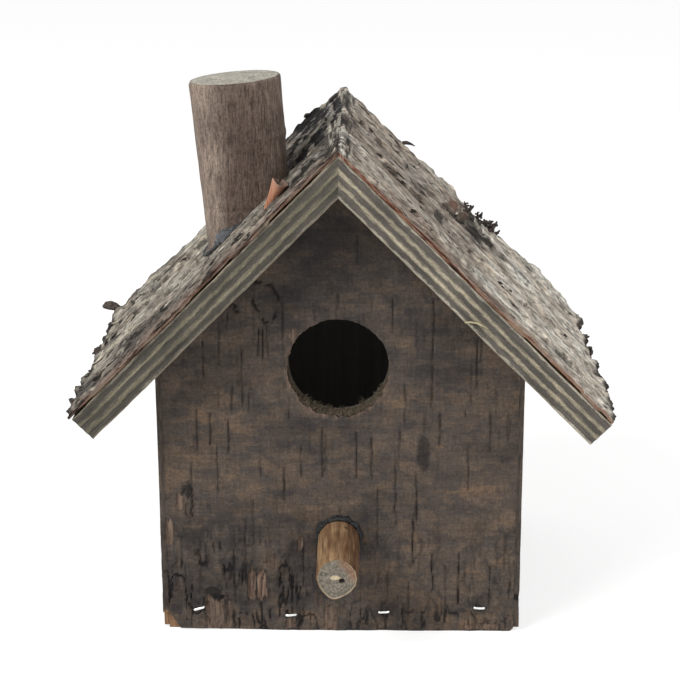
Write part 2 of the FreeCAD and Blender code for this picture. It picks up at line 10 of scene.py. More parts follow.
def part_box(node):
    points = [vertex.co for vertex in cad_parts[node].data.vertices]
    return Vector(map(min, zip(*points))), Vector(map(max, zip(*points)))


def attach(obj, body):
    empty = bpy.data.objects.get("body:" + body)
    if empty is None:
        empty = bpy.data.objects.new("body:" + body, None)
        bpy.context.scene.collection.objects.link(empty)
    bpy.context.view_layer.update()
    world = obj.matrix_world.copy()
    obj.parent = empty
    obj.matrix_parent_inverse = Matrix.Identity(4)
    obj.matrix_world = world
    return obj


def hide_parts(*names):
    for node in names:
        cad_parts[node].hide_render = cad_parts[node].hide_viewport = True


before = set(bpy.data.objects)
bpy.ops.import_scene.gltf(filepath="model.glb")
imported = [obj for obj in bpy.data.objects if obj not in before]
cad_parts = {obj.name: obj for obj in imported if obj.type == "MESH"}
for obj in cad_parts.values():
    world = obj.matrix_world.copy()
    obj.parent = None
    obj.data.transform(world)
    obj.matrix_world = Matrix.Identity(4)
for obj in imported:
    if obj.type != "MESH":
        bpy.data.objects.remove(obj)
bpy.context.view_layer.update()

# Mesh code works in millimetres and is scaled to metres when a mesh is made.
MM = 0.001
LEFT, RIGHT = -1, 1
SIDE_NAME = {LEFT: "left", RIGHT: "right"}
# Slope of the roof, and its cosine and sine.
SLOPE, C45 = math.radians(45), math.sqrt(0.5)
TURN = 2 * math.pi


def box_mm(node):
    """Lowest and highest corner of a solid, in millimetres."""
    low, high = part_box(node)
    return np.array(low) / MM, np.array(high) / MM


(_, BARK_FRONT, _), (HALF_WIDTH, WALL_FRONT, GABLE_TOP) = box_mm("front_bark")
(_, ROOF_FRONT, _), (_, ROOF_BACK, PLY_APEX) = box_mm("left_roof_panel")
ROOF_PLY = (PLY_APEX - GABLE_TOP) * C45
ROOF_BARK = 1.8
# Room between the wall bark's top and the roof panels.
HEAD_GAP = 0.25
# Columns and rows of the sheets' grids.
FRONT_GRID, SIDE_GRID, BARK_GRID, PANEL_GRID = (270, 330), (200, 190), (350, 240), (330, 40)
CENTRE = -0.5
# Round holes in the front: x, z and radius.
ENTRANCE = (CENTRE, 90.6, 16.0)
PERCH_HOLE = (CENTRE, 32.4, 6.9)


# Random patterns over a plane

def noise(u, v, seed):
    """Smooth random values from 0 to 1, one hump per unit."""
    count = 256
    table = np.random.default_rng(seed).random((count, count))
    iu, iv = np.floor(u).astype(int), np.floor(v).astype(int)
    fu, fv = u - iu, v - iv
    fu, fv = fu * fu * (3 - 2 * fu), fv * fv * (3 - 2 * fv)
    near, far = iu % count, (iu + 1) % count
    low, high = iv % count, (iv + 1) % count
    below = table[near, low] * (1 - fu) + table[far, low] * fu
    above = table[near, high] * (1 - fu) + table[far, high] * fu
    return below * (1 - fv) + above * fv


def cloud(u, v, seed, octaves=4, gain=0.5):
    """Noise with finer and fainter noise added, from 0 to 1."""
    total, weight, share = 0.0, 0.0, 1.0
    for octave in range(octaves):
        total = total + share * noise(u * 2 ** octave, v * 2 ** octave, seed + octave)
        weight += share
        share *= gain
    return total / weight


def swell(height, u, v, seed, octaves=4, gain=0.5, middle=0.5):
    """Humps and hollows of a height: 0 where the cloud is at its middle."""
    return height * (cloud(u, v, seed, octaves, gain) - middle)


def crack(u, v, seed, width):
    """Lines where noise crosses its middle: 1 on the line, 0 past its width."""
    return 1 - smooth(np.abs(cloud(u, v, seed, 3) - 0.5), 0.3 * width, width)


def smooth(value, low, high):
    """0 below low, 1 above high, with an even bend between; low may be the higher one."""
    t = np.clip((value - low) / (high - low), 0, 1)
    return t * t * (3 - 2 * t)


def bell(value, middle, width):
    """1 at the middle, falling smoothly to both sides within about twice the width."""
    return np.exp(-(((value - middle) / width) ** 2))


def spot(u, v, middle, reach, seed=0, ragged=0.0, soft=0.3):
    """1 inside an oval and 0 outside it, with an edge as ragged and as soft as asked."""
    away = np.hypot((u - middle[0]) / reach[0], (v - middle[1]) / reach[1])
    away = away + swell(ragged, u / 2.5, v / 2.5, seed)
    return 1 - smooth(away, 1 - soft, 1 + soft / 3)


def covered(u, v, zones, seed, ragged=0.8, soft=0.3):
    """How strongly each point lies in any of the zones: each has a middle, a reach and a strength."""
    most = np.zeros_like(u)
    for number, (a, b, wide, tall, strength) in enumerate(zones):
        inside = spot(u, v, (a, b), (wide, tall), seed + number, ragged, soft)
        most = np.maximum(most, strength * inside)
    return most


def torn_strips(u, v, spots, seed):
    """How strongly each point lies in any of the upright strips, whose ends are frayed into fibres."""
    most = np.zeros_like(u)
    for number, (a, b, wide, tall, strength) in enumerate(spots):
        upright = v - b + swell(0.9 * tall, u / 0.9, v / 14, seed + number, 3)
        sideways = u - a + swell(0.8, u / 4, v / 2.2, seed + number + 40, 3)
        away = ((sideways / wide) ** 4 + (upright / tall) ** 4) ** 0.25
        most = np.maximum(most, strength * (1 - smooth(away, 0.86, 1.04)))
    return most


def distance(u, v, line):
    """How far each point is from a line through the given points."""
    nearest = np.full(np.shape(u), 1e9)
    for (a, b), (c, d) in zip(line, line[1:]):
        along = ((u - a) * (c - a) + (v - b) * (d - b)) / ((c - a) ** 2 + (d - b) ** 2)
        along = np.clip(along, 0, 1)
        nearest = np.minimum(nearest, np.hypot(u - a - along * (c - a), v - b - along * (d - b)))
    return nearest


def blurred(grid, reach):
    """Mean over a square of cells round each point."""
    for axis in (0, 1):
        edges = [(0, 0), (0, 0)]
        edges[axis] = (reach, reach)
        wide = np.pad(grid, edges, mode="edge")
        count = 2 * reach + 1
        grid = sum(np.take(wide, range(k, k + grid.shape[axis]), axis) for k in range(count)) / count
    return grid


# Meshes

# Edges that bend more than this are shaded sharp.
SHARP_BEND = math.radians(55)
# On the map of a skin: room left round it, and the size and the places of its lids.
MAP_ROOM, LID_SIZE, LID_PLACES = 1.1, 0.01, ((0.02, 0.98), (0.05, 0.98))
# Share of its tile that a skin's map takes, where a piece has several skins.
TILE_SHARE = 0.96


def mesh_from(name, points, faces, marks, uv):
    """A smooth-shaded mesh with named values on its points and a map for baking."""
    mesh = bpy.data.meshes.new(name)
    mesh.from_pydata((points * MM).tolist(), [], faces)
    for mark, values in marks.items():
        layer = mesh.attributes.new(mark, "FLOAT", "POINT")
        layer.data.foreach_set("value", np.asarray(values, np.float32))
    layer = mesh.uv_layers.new(name="OFBake")
    layer.data.foreach_set("uv", np.asarray(uv, np.float32).ravel())
    mesh.shade_smooth()
    mesh.set_sharp_from_angle(angle=SHARP_BEND)
    return mesh


# Sides of a grid cell: the step to the cell beyond it, then the corners where it starts and ends.
CELL_SIDES = (
    ((-1, 0), (0, 0), (0, 1)), ((0, 1), (0, 1), (1, 1)),
    ((1, 0), (1, 1), (1, 0)), ((0, -1), (1, 0), (0, 0)),
)


def rim_edges(keep, corner):
    """Edges of kept cells that no other kept cell shares, put end to end."""
    beside = np.pad(keep, 1)
    rows, cols = keep.shape
    follows = {}
    for (di, dj), start, end in CELL_SIDES:
        alone = keep & ~beside[1 + di:1 + di + rows, 1 + dj:1 + dj + cols]
        for i, j in np.argwhere(alone):
            follows[corner[i + start[0], j + start[1]]] = corner[i + end[0], j + end[1]]
    ordered = []
    while follows:
        start, end = follows.popitem()
        ordered.append((start, end))
        while end in follows:
            start, end = end, follows.pop(end)
            ordered.append((start, end))
    return np.array(ordered)


def back_strips(keep, corner, rim):
    """Long flat faces that close the back, one for each run of kept cells in a column."""
    on_rim = np.isin(corner, rim)
    strips = []
    for j in range(keep.shape[1]):
        ends = np.flatnonzero(np.diff(np.pad(keep[:, j].astype(int), 1)))
        for first, last in zip(ends[::2], ends[1::2]):
            up = [corner[i, j] for i in range(first, last + 1) if on_rim[i, j]]
            down = [corner[i, j + 1] for i in range(last, first - 1, -1) if on_rim[i, j + 1]]
            strips.append(up + down)
    return strips


def sheet_map(plan, fronts, rim, strips, depth):
    """Lays the front out flat, with the walls in rows over it and the back at a quarter of its size."""
    gap, back_scale = 1.0, 0.25
    flat = plan.reshape(-1, 2)
    flat = flat - flat.min(0)
    width, height = flat.max(0)
    places = [flat[fronts].reshape(-1, 2)]
    u, v = 0.0, height + gap
    for start, end in rim:
        length = float(np.hypot(*(flat[end] - flat[start])))
        if u + length > width:
            u, v = 0.0, v + depth + gap
        places.append([(u + length, v), (u, v), (u, v + depth), (u + length, v + depth)])
        u += length
    v += depth + gap
    for strip in strips:
        places.append(flat[strip] * back_scale + (0, v))
    return np.concatenate(places) / max(width, v + height * back_scale + gap)


def ring_parts(rings, loop=False):
    """Points and faces of a skin over rings of points; open ends get a lid."""
    rows, count = rings.shape[:2]
    corner = np.arange(rows * count).reshape(rows, count)
    spans = rows if loop else rows - 1
    low, high = corner[:spans], np.roll(corner, -1, 0)[:spans]
    faces = np.stack([low, np.roll(low, -1, 1), np.roll(high, -1, 1), high], -1).reshape(-1, 4).tolist()
    if not loop:
        faces.append(corner[0, ::-1].tolist())
        faces.append(corner[-1].tolist())
    return rings.reshape(-1, 3), faces


def ring_map(rings, loop=False):
    """Unrolls the rings: round them across and from ring to ring upwards; the lids get a corner each."""
    rows, count = rings.shape[:2]
    spans = rows if loop else rows - 1
    step = np.linalg.norm(np.roll(rings, -1, 0) - rings, axis=-1).mean(1)[:spans]
    up = np.concatenate([[0.0], np.cumsum(step)])
    girth = np.linalg.norm(np.roll(rings, -1, 1) - rings, axis=-1).sum(1).max()
    size = MAP_ROOM * max(girth, up[-1])
    u = np.arange(count + 1) / count * girth / size
    v = up / size
    low_v, low_u = np.meshgrid(v[:-1], u[:-1], indexing="ij")
    high_v, high_u = np.meshgrid(v[1:], u[1:], indexing="ij")
    quads = [(low_u, low_v), (high_u, low_v), (high_u, high_v), (low_u, high_v)]
    places = [np.stack([np.stack(corner, -1) for corner in quads], 2).reshape(-1, 2)]
    if not loop:
        angle = turns(count)
        lid = LID_SIZE * np.stack([np.cos(angle), np.sin(angle)], -1)
        places += [lid + place for place in LID_PLACES]
    return np.concatenate(places)


def turns(count):
    """Angles of points spread evenly round a circle."""
    return np.arange(count) / count * TURN


def unit(vector):
    """The vector at a length of 1."""
    return vector / np.linalg.norm(vector)


def tube_rings(points, radii, sides=10, loop=False, flat=1.0, first=(0.0, 0.0, 1.0)):
    """Rings of a round or flattened tube along a line of points."""
    points = np.asarray(points, float)
    radii = np.broadcast_to(radii, (len(points),))
    if loop:
        along = np.roll(points, -1, 0) - np.roll(points, 1, 0)
    else:
        along = np.gradient(points, axis=0)
    along /= np.linalg.norm(along, axis=1, keepdims=True)
    angle = turns(sides)
    across = np.array(first, float)
    rings = []
    for point, ahead, radius in zip(points, along, radii):
        across = unit(across - ahead * (across @ ahead))
        circle = np.outer(np.cos(angle), across) * flat + np.outer(np.sin(angle), np.cross(ahead, across))
        rings.append(point + radius * circle)
    return np.array(rings)


def add_piece(name, mesh, material, slot, *nodes):
    """Puts a mesh into the scene as a piece of the birdhouse, in place of the named solids."""
    piece = bpy.data.objects.new(name, mesh)
    bpy.context.scene.collection.objects.link(piece)
    mesh.materials.append(material)
    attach(piece, "root")
    if nodes:
        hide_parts(*nodes)


def add_sheet(name, front, back, plan, marks, material, slot, node, keep=None):
    """Adds a sheet with a fine relief in front, flat strips behind and walls round every edge.

    The mark "under" is 0 on the front and 1 on the back, so the walls run from one to the other.
    """
    rows, cols = front.shape[:2]
    if keep is None:
        keep = np.ones((rows - 1, cols - 1), bool)
    corner = np.arange(rows * cols).reshape(rows, cols)
    i, j = np.nonzero(keep)
    fronts = np.stack([corner[i, j], corner[i, j + 1], corner[i + 1, j + 1], corner[i + 1, j]], 1)
    rim = rim_edges(keep, corner)
    behind = rows * cols
    walls = np.stack([rim[:, 1], rim[:, 0], rim[:, 0] + behind, rim[:, 1] + behind], 1)
    strips = back_strips(keep, corner, rim)
    depth = float(np.median(np.linalg.norm(front - back, axis=-1)))
    uv = sheet_map(plan, fronts, rim, strips, depth)
    used = np.unique(np.concatenate([fronts.ravel(), walls.ravel()]))
    number = np.zeros(2 * behind, int)
    number[used] = np.arange(len(used))
    faces = number[fronts].tolist() + number[walls].tolist()
    faces += [[int(number[k + behind]) for k in strip] for strip in strips]
    points = np.concatenate([front.reshape(-1, 3), back.reshape(-1, 3)])[used]
    values = {mark: np.tile(grid.ravel(), 2)[used] for mark, grid in marks.items()}
    values["under"] = (used >= behind).astype(float)
    add_piece(name, mesh_from(name, points, faces, values, uv), material, slot, node)


def add_skin(name, rings, marks, material, slot, *nodes, loop=False):
    """Adds a piece that is one skin over rings, with marks for each of their points."""
    points, faces = ring_parts(rings, loop)
    values = {mark: grid.ravel() for mark, grid in marks.items()}
    mesh = mesh_from(name, points, faces, values, ring_map(rings, loop))
    add_piece(name, mesh, material, slot, *nodes)


def add_tubes(name, many, material, slot, *nodes):
    """Adds a piece that is several skins of rings."""
    points, faces, maps = [], [], []
    start, cell = 0, math.ceil(math.sqrt(len(many)))
    for number, rings in enumerate(many):
        part, sides = ring_parts(rings)
        points.append(part)
        faces += [[k + start for k in face] for face in sides]
        start += len(part)
        maps.append((ring_map(rings) * TILE_SHARE + divmod(number, cell)) / cell)
    mesh = mesh_from(name, np.concatenate(points), faces, {}, np.concatenate(maps))
    add_piece(name, mesh, material, slot, *nodes)


# Materials

# Most of a noise texture lies between these values.
NOISE_ENDS = (0.3, 0.7)


def tint(colour):
    """Linear values from a screen colour of three parts, 0 to 255; four parts stay as they are."""
    if len(colour) == 4:
        return colour
    parts = [c / 255 for c in colour]
    return [c / 12.92 if c < 0.04045 else ((c + 0.055) / 1.055) ** 2.4 for c in parts] + [1.0]


def feed(tree, socket, value):
    """Gives a socket the output of a node, the mark of that name on the mesh, a colour or a number."""
    if isinstance(value, str):
        value = add_node(tree, "Attribute", attribute_name=value).outputs["Fac"]
    if isinstance(value, bpy.types.NodeSocket):
        tree.links.new(value, socket)
    elif socket.type == "RGBA":
        socket.default_value = tint(value)
    else:
        socket.default_value = value


def add_node(tree, kind, inputs=(), **settings):
    """A new node with its settings, and with its inputs fed."""
    node = tree.nodes.new("ShaderNode" + kind)
    for name, value in settings.items():
        setattr(node, name, value)
    for socket, value in dict(inputs).items():
        feed(tree, node.inputs[socket], value)
    return node


class Paint:
    """A material with short ways to add its nodes."""

    def __init__(self, name, specular, metallic=0.0):
        self.material = bpy.data.materials.new(name)
        self.material.use_nodes = True
        self.tree = self.material.node_tree
        self.shader = self.tree.nodes["Principled BSDF"].inputs
        self.shader["Metallic"].default_value = metallic
        self.shader["Specular IOR Level"].default_value = specular
        self.place = self.node("TexCoord").outputs["Object"]

    def node(self, kind, inputs=(), **settings):
        return add_node(self.tree, kind, inputs, **settings)

    def spread(self, size, turn, shift):
        """Place in a texture of that size in millimetres along x, y and z, turned about y and shifted."""
        inputs = {
            "Vector": self.place, "Scale": [n * MM for n in size],
            "Rotation": (0, turn, 0), "Location": (shift, shift, shift),
        }
        return self.node("Mapping", inputs, vector_type="TEXTURE").outputs["Vector"]

    def noise(self, size, detail=3.0, turn=0.0, shift=0.0, roughness=0.55):
        """Noise whose humps have that size in millimetres along x, y and z, turned about y."""
        place = self.spread(size, turn, shift)
        inputs = {"Vector": place, "Scale": 1.0, "Detail": detail, "Roughness": roughness}
        return self.node("TexNoise", inputs).outputs["Fac"]

    def cells(self, size, shift):
        """Random values from 0 to 1, one for each of many square-cornered cells of that size."""
        inputs = {"Vector": self.spread(size, 0.0, shift), "Scale": 1.0}
        texture = self.node("TexVoronoi", inputs, distance="CHEBYCHEV")
        return self.node("SeparateColor", {"Color": texture.outputs["Color"]}).outputs["Red"]

    def along(self, direction):
        """Distance in metres along a direction of the frame."""
        inputs = {0: self.place, 1: direction}
        return self.node("VectorMath", inputs, operation="DOT_PRODUCT").outputs["Value"]

    def math(self, operation, a, b):
        return self.node("Math", {0: a, 1: b}, operation=operation).outputs[0]

    def total(self, first, *others):
        """Sum of values, each given with its weight."""
        whole = self.math("MULTIPLY", *first)
        for other in others:
            whole = self.math("ADD", whole, self.math("MULTIPLY", *other))
        return whole

    def span(self, value, low, high, to_low=0.0, to_high=1.0):
        """The value moved from one range to another and kept within it."""
        inputs = {"Value": value, "From Min": low, "From Max": high, "To Min": to_low, "To Max": to_high}
        return self.node("MapRange", inputs).outputs["Result"]

    def ramp(self, value, colours, positions=NOISE_ENDS):
        """Colours that follow each other as the value passes their positions."""
        node = self.node("ValToRGB", {"Fac": value})
        points = node.color_ramp.elements
        while len(points) < len(colours):
            points.new(0.5)
        for point, position, colour in zip(points, positions, colours):
            point.position = position
            point.color = tint(colour)
        return node.outputs["Color"]

    def mix(self, share, a, b, way="MIX"):
        inputs = {0: share, 6: a, 7: b}
        return self.node("Mix", inputs, data_type="RGBA", blend_type=way).outputs[2]

    def shade(self, colour, *coats):
        """Colour times greys: each coat is a value, its darkest and lightest grey, and where these lie."""
        for value, dark, light, *ends in coats:
            grey = self.span(value, *(ends or NOISE_ENDS), dark, light)
            colour = self.mix(1.0, colour, grey, "MULTIPLY")
        return colour

    def cover(self, colour, *covers):
        """Colour under other colours: each cover is the share that it hides and its own colour."""
        for share, over in covers:
            colour = self.mix(share, colour, over)
        return colour

    def finish(self, colour, grain, smoothest, roughest, height, distance):
        """The material: its colour, a roughness that follows a grain, and bumps up to a distance in mm."""
        bump = self.node("Bump", {"Height": height, "Distance": distance * MM, "Strength": 1.0})
        rough = self.span(grain, *NOISE_ENDS, smoothest, roughest)
        inputs = {"Base Color": colour, "Roughness": rough, "Normal": bump.outputs["Normal"]}
        for name, value in inputs.items():
            feed(self.tree, self.shader[name], value)
        return self.material


# Orange wood where the bark has just broken off.
FRESH_WOOD = (108, 80, 58), (160, 126, 96)
# Factors on the bark's colour, from cool to warm.
WALL_HUES = (0.83, 0.85, 0.89, 1), (1, 1, 1, 1), (1.15, 1.09, 1.02, 1)
ROOF_HUES = (0.95, 0.99, 1.01, 1), (1.04, 1.0, 0.94, 1)


def wall_bark_paint(name, line_size, inner_tones):
    """Dark smooth bark: hair-fine level lines, square-edged patches, upright slits and bare torn spots."""
    paint = Paint(name, specular=0.2)
    patches = paint.noise((22, 22, 10), 6, shift=1.3, roughness=0.65)
    colour = paint.ramp(
        paint.math("ADD", patches, "warm"),
        ((56, 51, 49), (72, 65, 60), (84, 75, 68), (95, 83, 73), (110, 92, 78)),
        (0.22, 0.42, 0.55, 0.70, 0.95))
    for size, shift in (((8, 8, 5), 2.1), ((3.5, 3.5, 2.4), 3.7)):
        layers = paint.ramp(paint.cells(size, shift), WALL_HUES, (0.1, 0.5, 0.9))
        colour = paint.mix(1.0, colour, layers, "MULTIPLY")
    lines = paint.noise(line_size, 3, shift=4.1)
    streaks = paint.noise((20, 20, 1.2), 4, shift=7.7)
    grit = paint.noise((1.0, 1.0, 0.9), 5, shift=2.9, roughness=0.75)
    fibres = paint.noise((0.6, 0.6, 6), 4, shift=5.5)
    colour = paint.shade(
        colour, (lines, 0.90, 1.10), (streaks, 0.92, 1.08), (grit, 0.60, 1.42), (fibres, 0.88, 1.1))
    bare = paint.ramp(fibres, ((70, 56, 48), (112, 92, 79), (149, 128, 109)), (0.3, 0.5, 0.7))
    inner = paint.ramp(fibres, inner_tones, (0.35, 0.65))
    fresh = paint.ramp(fibres, FRESH_WOOD)
    behind = paint.span("under", 0.15, 0.6)
    colour = paint.cover(
        colour, ("peel", bare), (behind, inner), ("slit", (24, 22, 22)), ("fresh", fresh))
    return paint.finish(colour, grit, 0.68, 0.92, paint.total((lines, 0.4), (grit, 0.6)), 0.4)


# Colours of the roof's bark, of its torn inside, and of its plywood: dark layers, pale layers and faces.
ROOF_TONES = {
    LEFT: ((62, 57, 53), (124, 116, 107), (172, 164, 151), (198, 191, 178)),
    RIGHT: ((116, 105, 96), (180, 168, 155), (208, 198, 185), (228, 220, 208)),
}
INNER_TONES = {
    LEFT: ((28, 24, 22), (86, 64, 54), (118, 89, 73), (122, 110, 97)),
    RIGHT: ((34, 25, 22), (98, 62, 49), (130, 88, 69), (140, 118, 102)),
}
PLY_TONES = {
    LEFT: ((80, 76, 69), (122, 115, 97), (126, 119, 107)),
    RIGHT: ((94, 89, 82), (168, 158, 136), (174, 167, 152)),
}


def roof_bark_paint(side):
    """Weathered bark: grey-beige plates, dark flecks that are painted shade of crevices, grime, a black
    crust with pale strands, red inside, and painted shade in hollows.
    """
    paint = Paint(SIDE_NAME[side] + "_weathered_bark", specular=0.15)
    turn = side * SLOPE
    broad = paint.math("ADD", paint.noise((18, 12, 12), 6, turn, 0.7, 0.62), "tone")
    hairs = paint.noise((8.5, 3.2, 2.6), 4, turn, 3.3, 0.62)
    hues = paint.ramp(paint.noise((18, 9, 9), 4, turn, 7.3, 0.6), ROOF_HUES, (0.38, 0.62))
    specks = paint.noise((3.0, 3.0, 2.0), 4, turn, 6.1, 0.6)
    fine = paint.noise((3.6, 2.0, 1.2), 4, turn, 5.3, 0.7)
    colour = paint.ramp(broad, ROOF_TONES[side], (0.30, 0.43, 0.55, 0.70))
    colour = paint.shade(colour, (hairs, 0.58, 1.24))
    colour = paint.mix(1.0, colour, hues, "MULTIPLY")
    colour = paint.shade(colour, (specks, 0.68, 1.25, 0.32, 0.66), (fine, 0.36, 1.20, 0.37, 0.56))
    rusty = paint.ramp(hairs, ((88, 66, 57), (138, 110, 97)), (0.35, 0.65))
    grime = paint.ramp(specks, ((42, 38, 36), (122, 113, 105)), (0.36, 0.66))
    # Dark flecks: painted shade that stands in for shaded crevices, fewer where the mesh's mark is high.
    flecks = paint.math("ADD", paint.noise((7.0, 3.2, 3.0), 5, turn, 2.4, 0.65), "fleck_free")
    strands = paint.noise((11, 3.6, 1.6), 4, turn, 8.2, 0.7)
    crust = paint.ramp(strands, ((18, 17, 17), (50, 47, 46), (204, 200, 196)), (0.48, 0.58, 0.67))
    layers = paint.span(paint.noise((9, 4, 0.6), 5, turn, 4.9, 0.75), 0.38, 0.62, 0.30, 0.70)
    inner = paint.ramp(paint.math("ADD", layers, "tone"), INNER_TONES[side], (0.38, 0.45, 0.53, 0.63))
    flecks = paint.span(flecks, 0.48, 0.43)
    behind = paint.span("under", 0.05, 0.2)
    # The last cover is painted shade in the bark's hollows and pits.
    colour = paint.cover(
        colour, ("rust", rusty), ("grime", grime), (flecks, (40, 36, 33)), ("crust", crust),
        (behind, inner), ("painted_shade", (32, 28, 26)))
    height = paint.total((hairs, 0.6), (specks, 1.0), (fine, 1.0))
    return paint.finish(colour, specks, 0.75, 0.95, height, 0.6)


def roof_ply_paint(side):
    """Seven-layer plywood: thin pale faces, dark end grain between pale long grain, all weathered."""
    paint = Paint(SIDE_NAME[side] + "_roof_plywood", specular=0.2)
    turn = side * SLOPE
    dark, pale, face = PLY_TONES[side]
    waver = paint.span(paint.noise((60, 60, 60), 2, turn, 2.2), *NOISE_ENDS, -0.02, 0.02)
    frayed = paint.span(paint.noise((5, 5, 2), 6, turn, 6.6, 0.75), *NOISE_ENDS, -0.06, 0.06)
    colour = paint.ramp(
        paint.math("ADD", "layer", paint.math("ADD", waver, frayed)),
        (face, dark, dark, pale, pale, dark, dark, pale, pale, dark, dark, face),
        (0.03, 0.08, 0.26, 0.34, 0.37, 0.44, 0.57, 0.65, 0.69, 0.76, 0.91, 0.96))
    streaks = paint.noise((24, 24, 0.4), 4, turn, 5.2, 0.7)
    stains = paint.noise((18, 18, 5), 5, turn, 9.4, 0.65)
    grit = paint.noise((0.6, 0.6, 0.4), 3, turn, 1.9, 0.65)
    colour = paint.shade(colour, (streaks, 0.58, 1.36), (stains, 0.66, 1.2, 0.32, 0.68), (grit, 0.68, 1.3))
    grain = paint.noise((26, 1.1, 26), 4, turn, 4.7)
    faces = paint.ramp(grain, ((112, 98, 76), (148, 136, 110), (172, 163, 140)), (0.32, 0.5, 0.7))
    before_back = paint.span("under", 1.0, 0.97)
    colour = paint.mix(paint.math("MULTIPLY", "face", before_back), colour, faces)
    return paint.finish(colour, grit, 0.65, 0.9, paint.total((streaks, 0.6), (grit, 0.4)), 0.3)


# Wall plywood, pale, and for the front a darker copy that is painted shade, where the bark shades the
# entrance's rim: four tones of its faces and two of its core.
TAN_PLY = ((122, 88, 56), (158, 120, 80), (178, 142, 100), (192, 160, 120)), ((84, 74, 54), (128, 114, 84))
PLY_IN_PAINTED_SHADE = ((75, 65, 53), (95, 83, 68), (110, 97, 80), (125, 112, 93)), ((65, 58, 48), (91, 82, 67))
# Where the plywood turns grey inside: distance from the middle in y and in x, and height over the ground.
GREY_DEPTH, GREY_WIDTH, GREY_HEIGHT = 42.3, 50.8, 11.7
# A distance past every wall, for plywood that is grey on one side only.
BEYOND = 200.0
# Sizes of the grain, for sheets that face along each axis.
GRAIN_SIZE = {"x": (4, 1.3, 60), "y": (1.3, 4, 60), "z": (60, 1.3, 4)}


def wall_ply_paint(name, across, inside, tones, core_tones, bare_below=None):
    """Thin plywood for the walls and floor, in layers along one axis and grey on the inside.

    inside is the pair of distances along that axis between which the wood turns grey; below the height
    bare_below fresh orange wood shows.
    """
    paint = Paint(name, specular=0.25)
    depth = paint.along([float(axis == across) for axis in "xyz"])
    sheet = paint.math("PINGPONG", depth, 1.2 * MM)
    grain = paint.noise(GRAIN_SIZE[across], 5, shift=3.6)
    blotch = paint.noise((30, 30, 30), 3, shift=6.3)
    face = paint.ramp(grain, tones, (0.3, 0.47, 0.6, 0.75))
    face = paint.shade(face, (blotch, 0.78, 1.1))
    core = paint.ramp(grain, core_tones)
    colour = paint.mix(paint.span(sheet, 0.35 * MM, 0.6 * MM), face, core)
    if bare_below:
        height = paint.along((0.0, 0.0, 1.0))
        bare = paint.span(height, (bare_below + 2) * MM, bare_below * MM)
        colour = paint.mix(bare, colour, paint.ramp(grain, FRESH_WOOD))
    low, high = (paint.span(depth, (edge - 0.4) * MM, (edge + 0.4) * MM) for edge in inside)
    grey = paint.ramp(grain, ((146, 145, 144), (164, 162, 160)))
    colour = paint.mix(paint.math("SUBTRACT", low, high), colour, grey)
    return paint.finish(colour, grain, 0.6, 0.85, grain, 0.25)


def year_rings(paint):
    """Year rings of a sawn end, which waver a little."""
    waver = paint.span(paint.noise((6, 6, 6), 2, shift=2.6), *NOISE_ENDS, -0.12, 0.12)
    place = paint.node("CombineXYZ", {"X": paint.math("ADD", "ring", waver)})
    inputs = {"Vector": place.outputs["Vector"], "Scale": 2.4, "Distortion": 0.0}
    return paint.node("TexWave", inputs, wave_type="BANDS", bands_direction="X").outputs["Fac"]


def branch_paint(name, tones, levels, end_tones, fissure_size, fissure_dark, grit_range):
    """Thin branch bark with fine fissures along it, and a sawn end with year rings and cracks."""
    paint = Paint(name, specular=0.2)
    tone = paint.span(paint.noise((9, 9, 14), 3, shift=1.7), 0.2, 0.8, 0.34, 0.66)
    grit = paint.noise((0.6, 0.6, 0.9), 3, shift=4.4)
    fissures = paint.noise(fissure_size, 3, shift=5.1)
    # The mark lines holds the bark's ridges and painted light on the side of each branch that faces the key
    # lamp.
    colour = paint.ramp(paint.math("ADD", tone, "lines"), tones, levels)
    colour = paint.shade(colour, (grit, *grit_range), (fissures, fissure_dark, 1.08, 0.38, 0.50))
    saw = paint.noise((0.7, 0.7, 0.7), 3, shift=8.8)
    patches = paint.noise((3.5, 3.5, 3.5), 4, shift=7.1, roughness=0.65)
    end = paint.ramp(year_rings(paint), end_tones, (0.2, 0.8))
    end = paint.shade(end, (saw, 0.60, 1.28, 0.32, 0.68), (patches, 0.74, 1.18, 0.32, 0.68))
    end = paint.cover(end, ("russet", (150, 104, 74)))
    colour = paint.cover(colour, ("end", end), ("pale", (208, 190, 158)), ("slit", (34, 30, 28)))
    return paint.finish(colour, grit, 0.6, 0.85, paint.total((grit, 0.4), (fissures, 1.0)), 0.35)


def glue_paint(name, tones, roughness, specular):
    """Set hot-melt glue: uneven and glossy, and paler where a blob of it stands proud, which is a painted
    highlight.
    """
    paint = Paint(name, specular)
    clouds = paint.noise((1.6, 1.6, 1.6), 5, shift=1.1, roughness=0.65)
    colour = paint.ramp(paint.math("ADD", clouds, "blob"), tones, (0.45, 1.0))
    return paint.finish(colour, clouds, 0.6 * roughness, 1.4 * roughness, clouds, 1.6)


def steel_paint():
    """Bright drawn wire with faint scratches."""
    paint = Paint("bright_wire", specular=0.5, metallic=1.0)
    scratches = paint.noise((3, 3, 0.2), 3, shift=1.4)
    colour = paint.ramp(scratches, ((224, 224, 224), (250, 250, 248)))
    return paint.finish(colour, scratches, 0.22, 0.4, scratches, 0.05)


def dry_paint(name, *tones):
    """Dry lichen, torn bark or splinters, in darker and paler spots."""
    paint = Paint(name, specular=0.1)
    spots = paint.noise((0.8, 0.8, 0.8), 3, shift=3.9)
    colour = paint.ramp(spots, tones, (0.35, 0.7))
    return paint.finish(colour, spots, 0.8, 0.95, spots, 0.3)


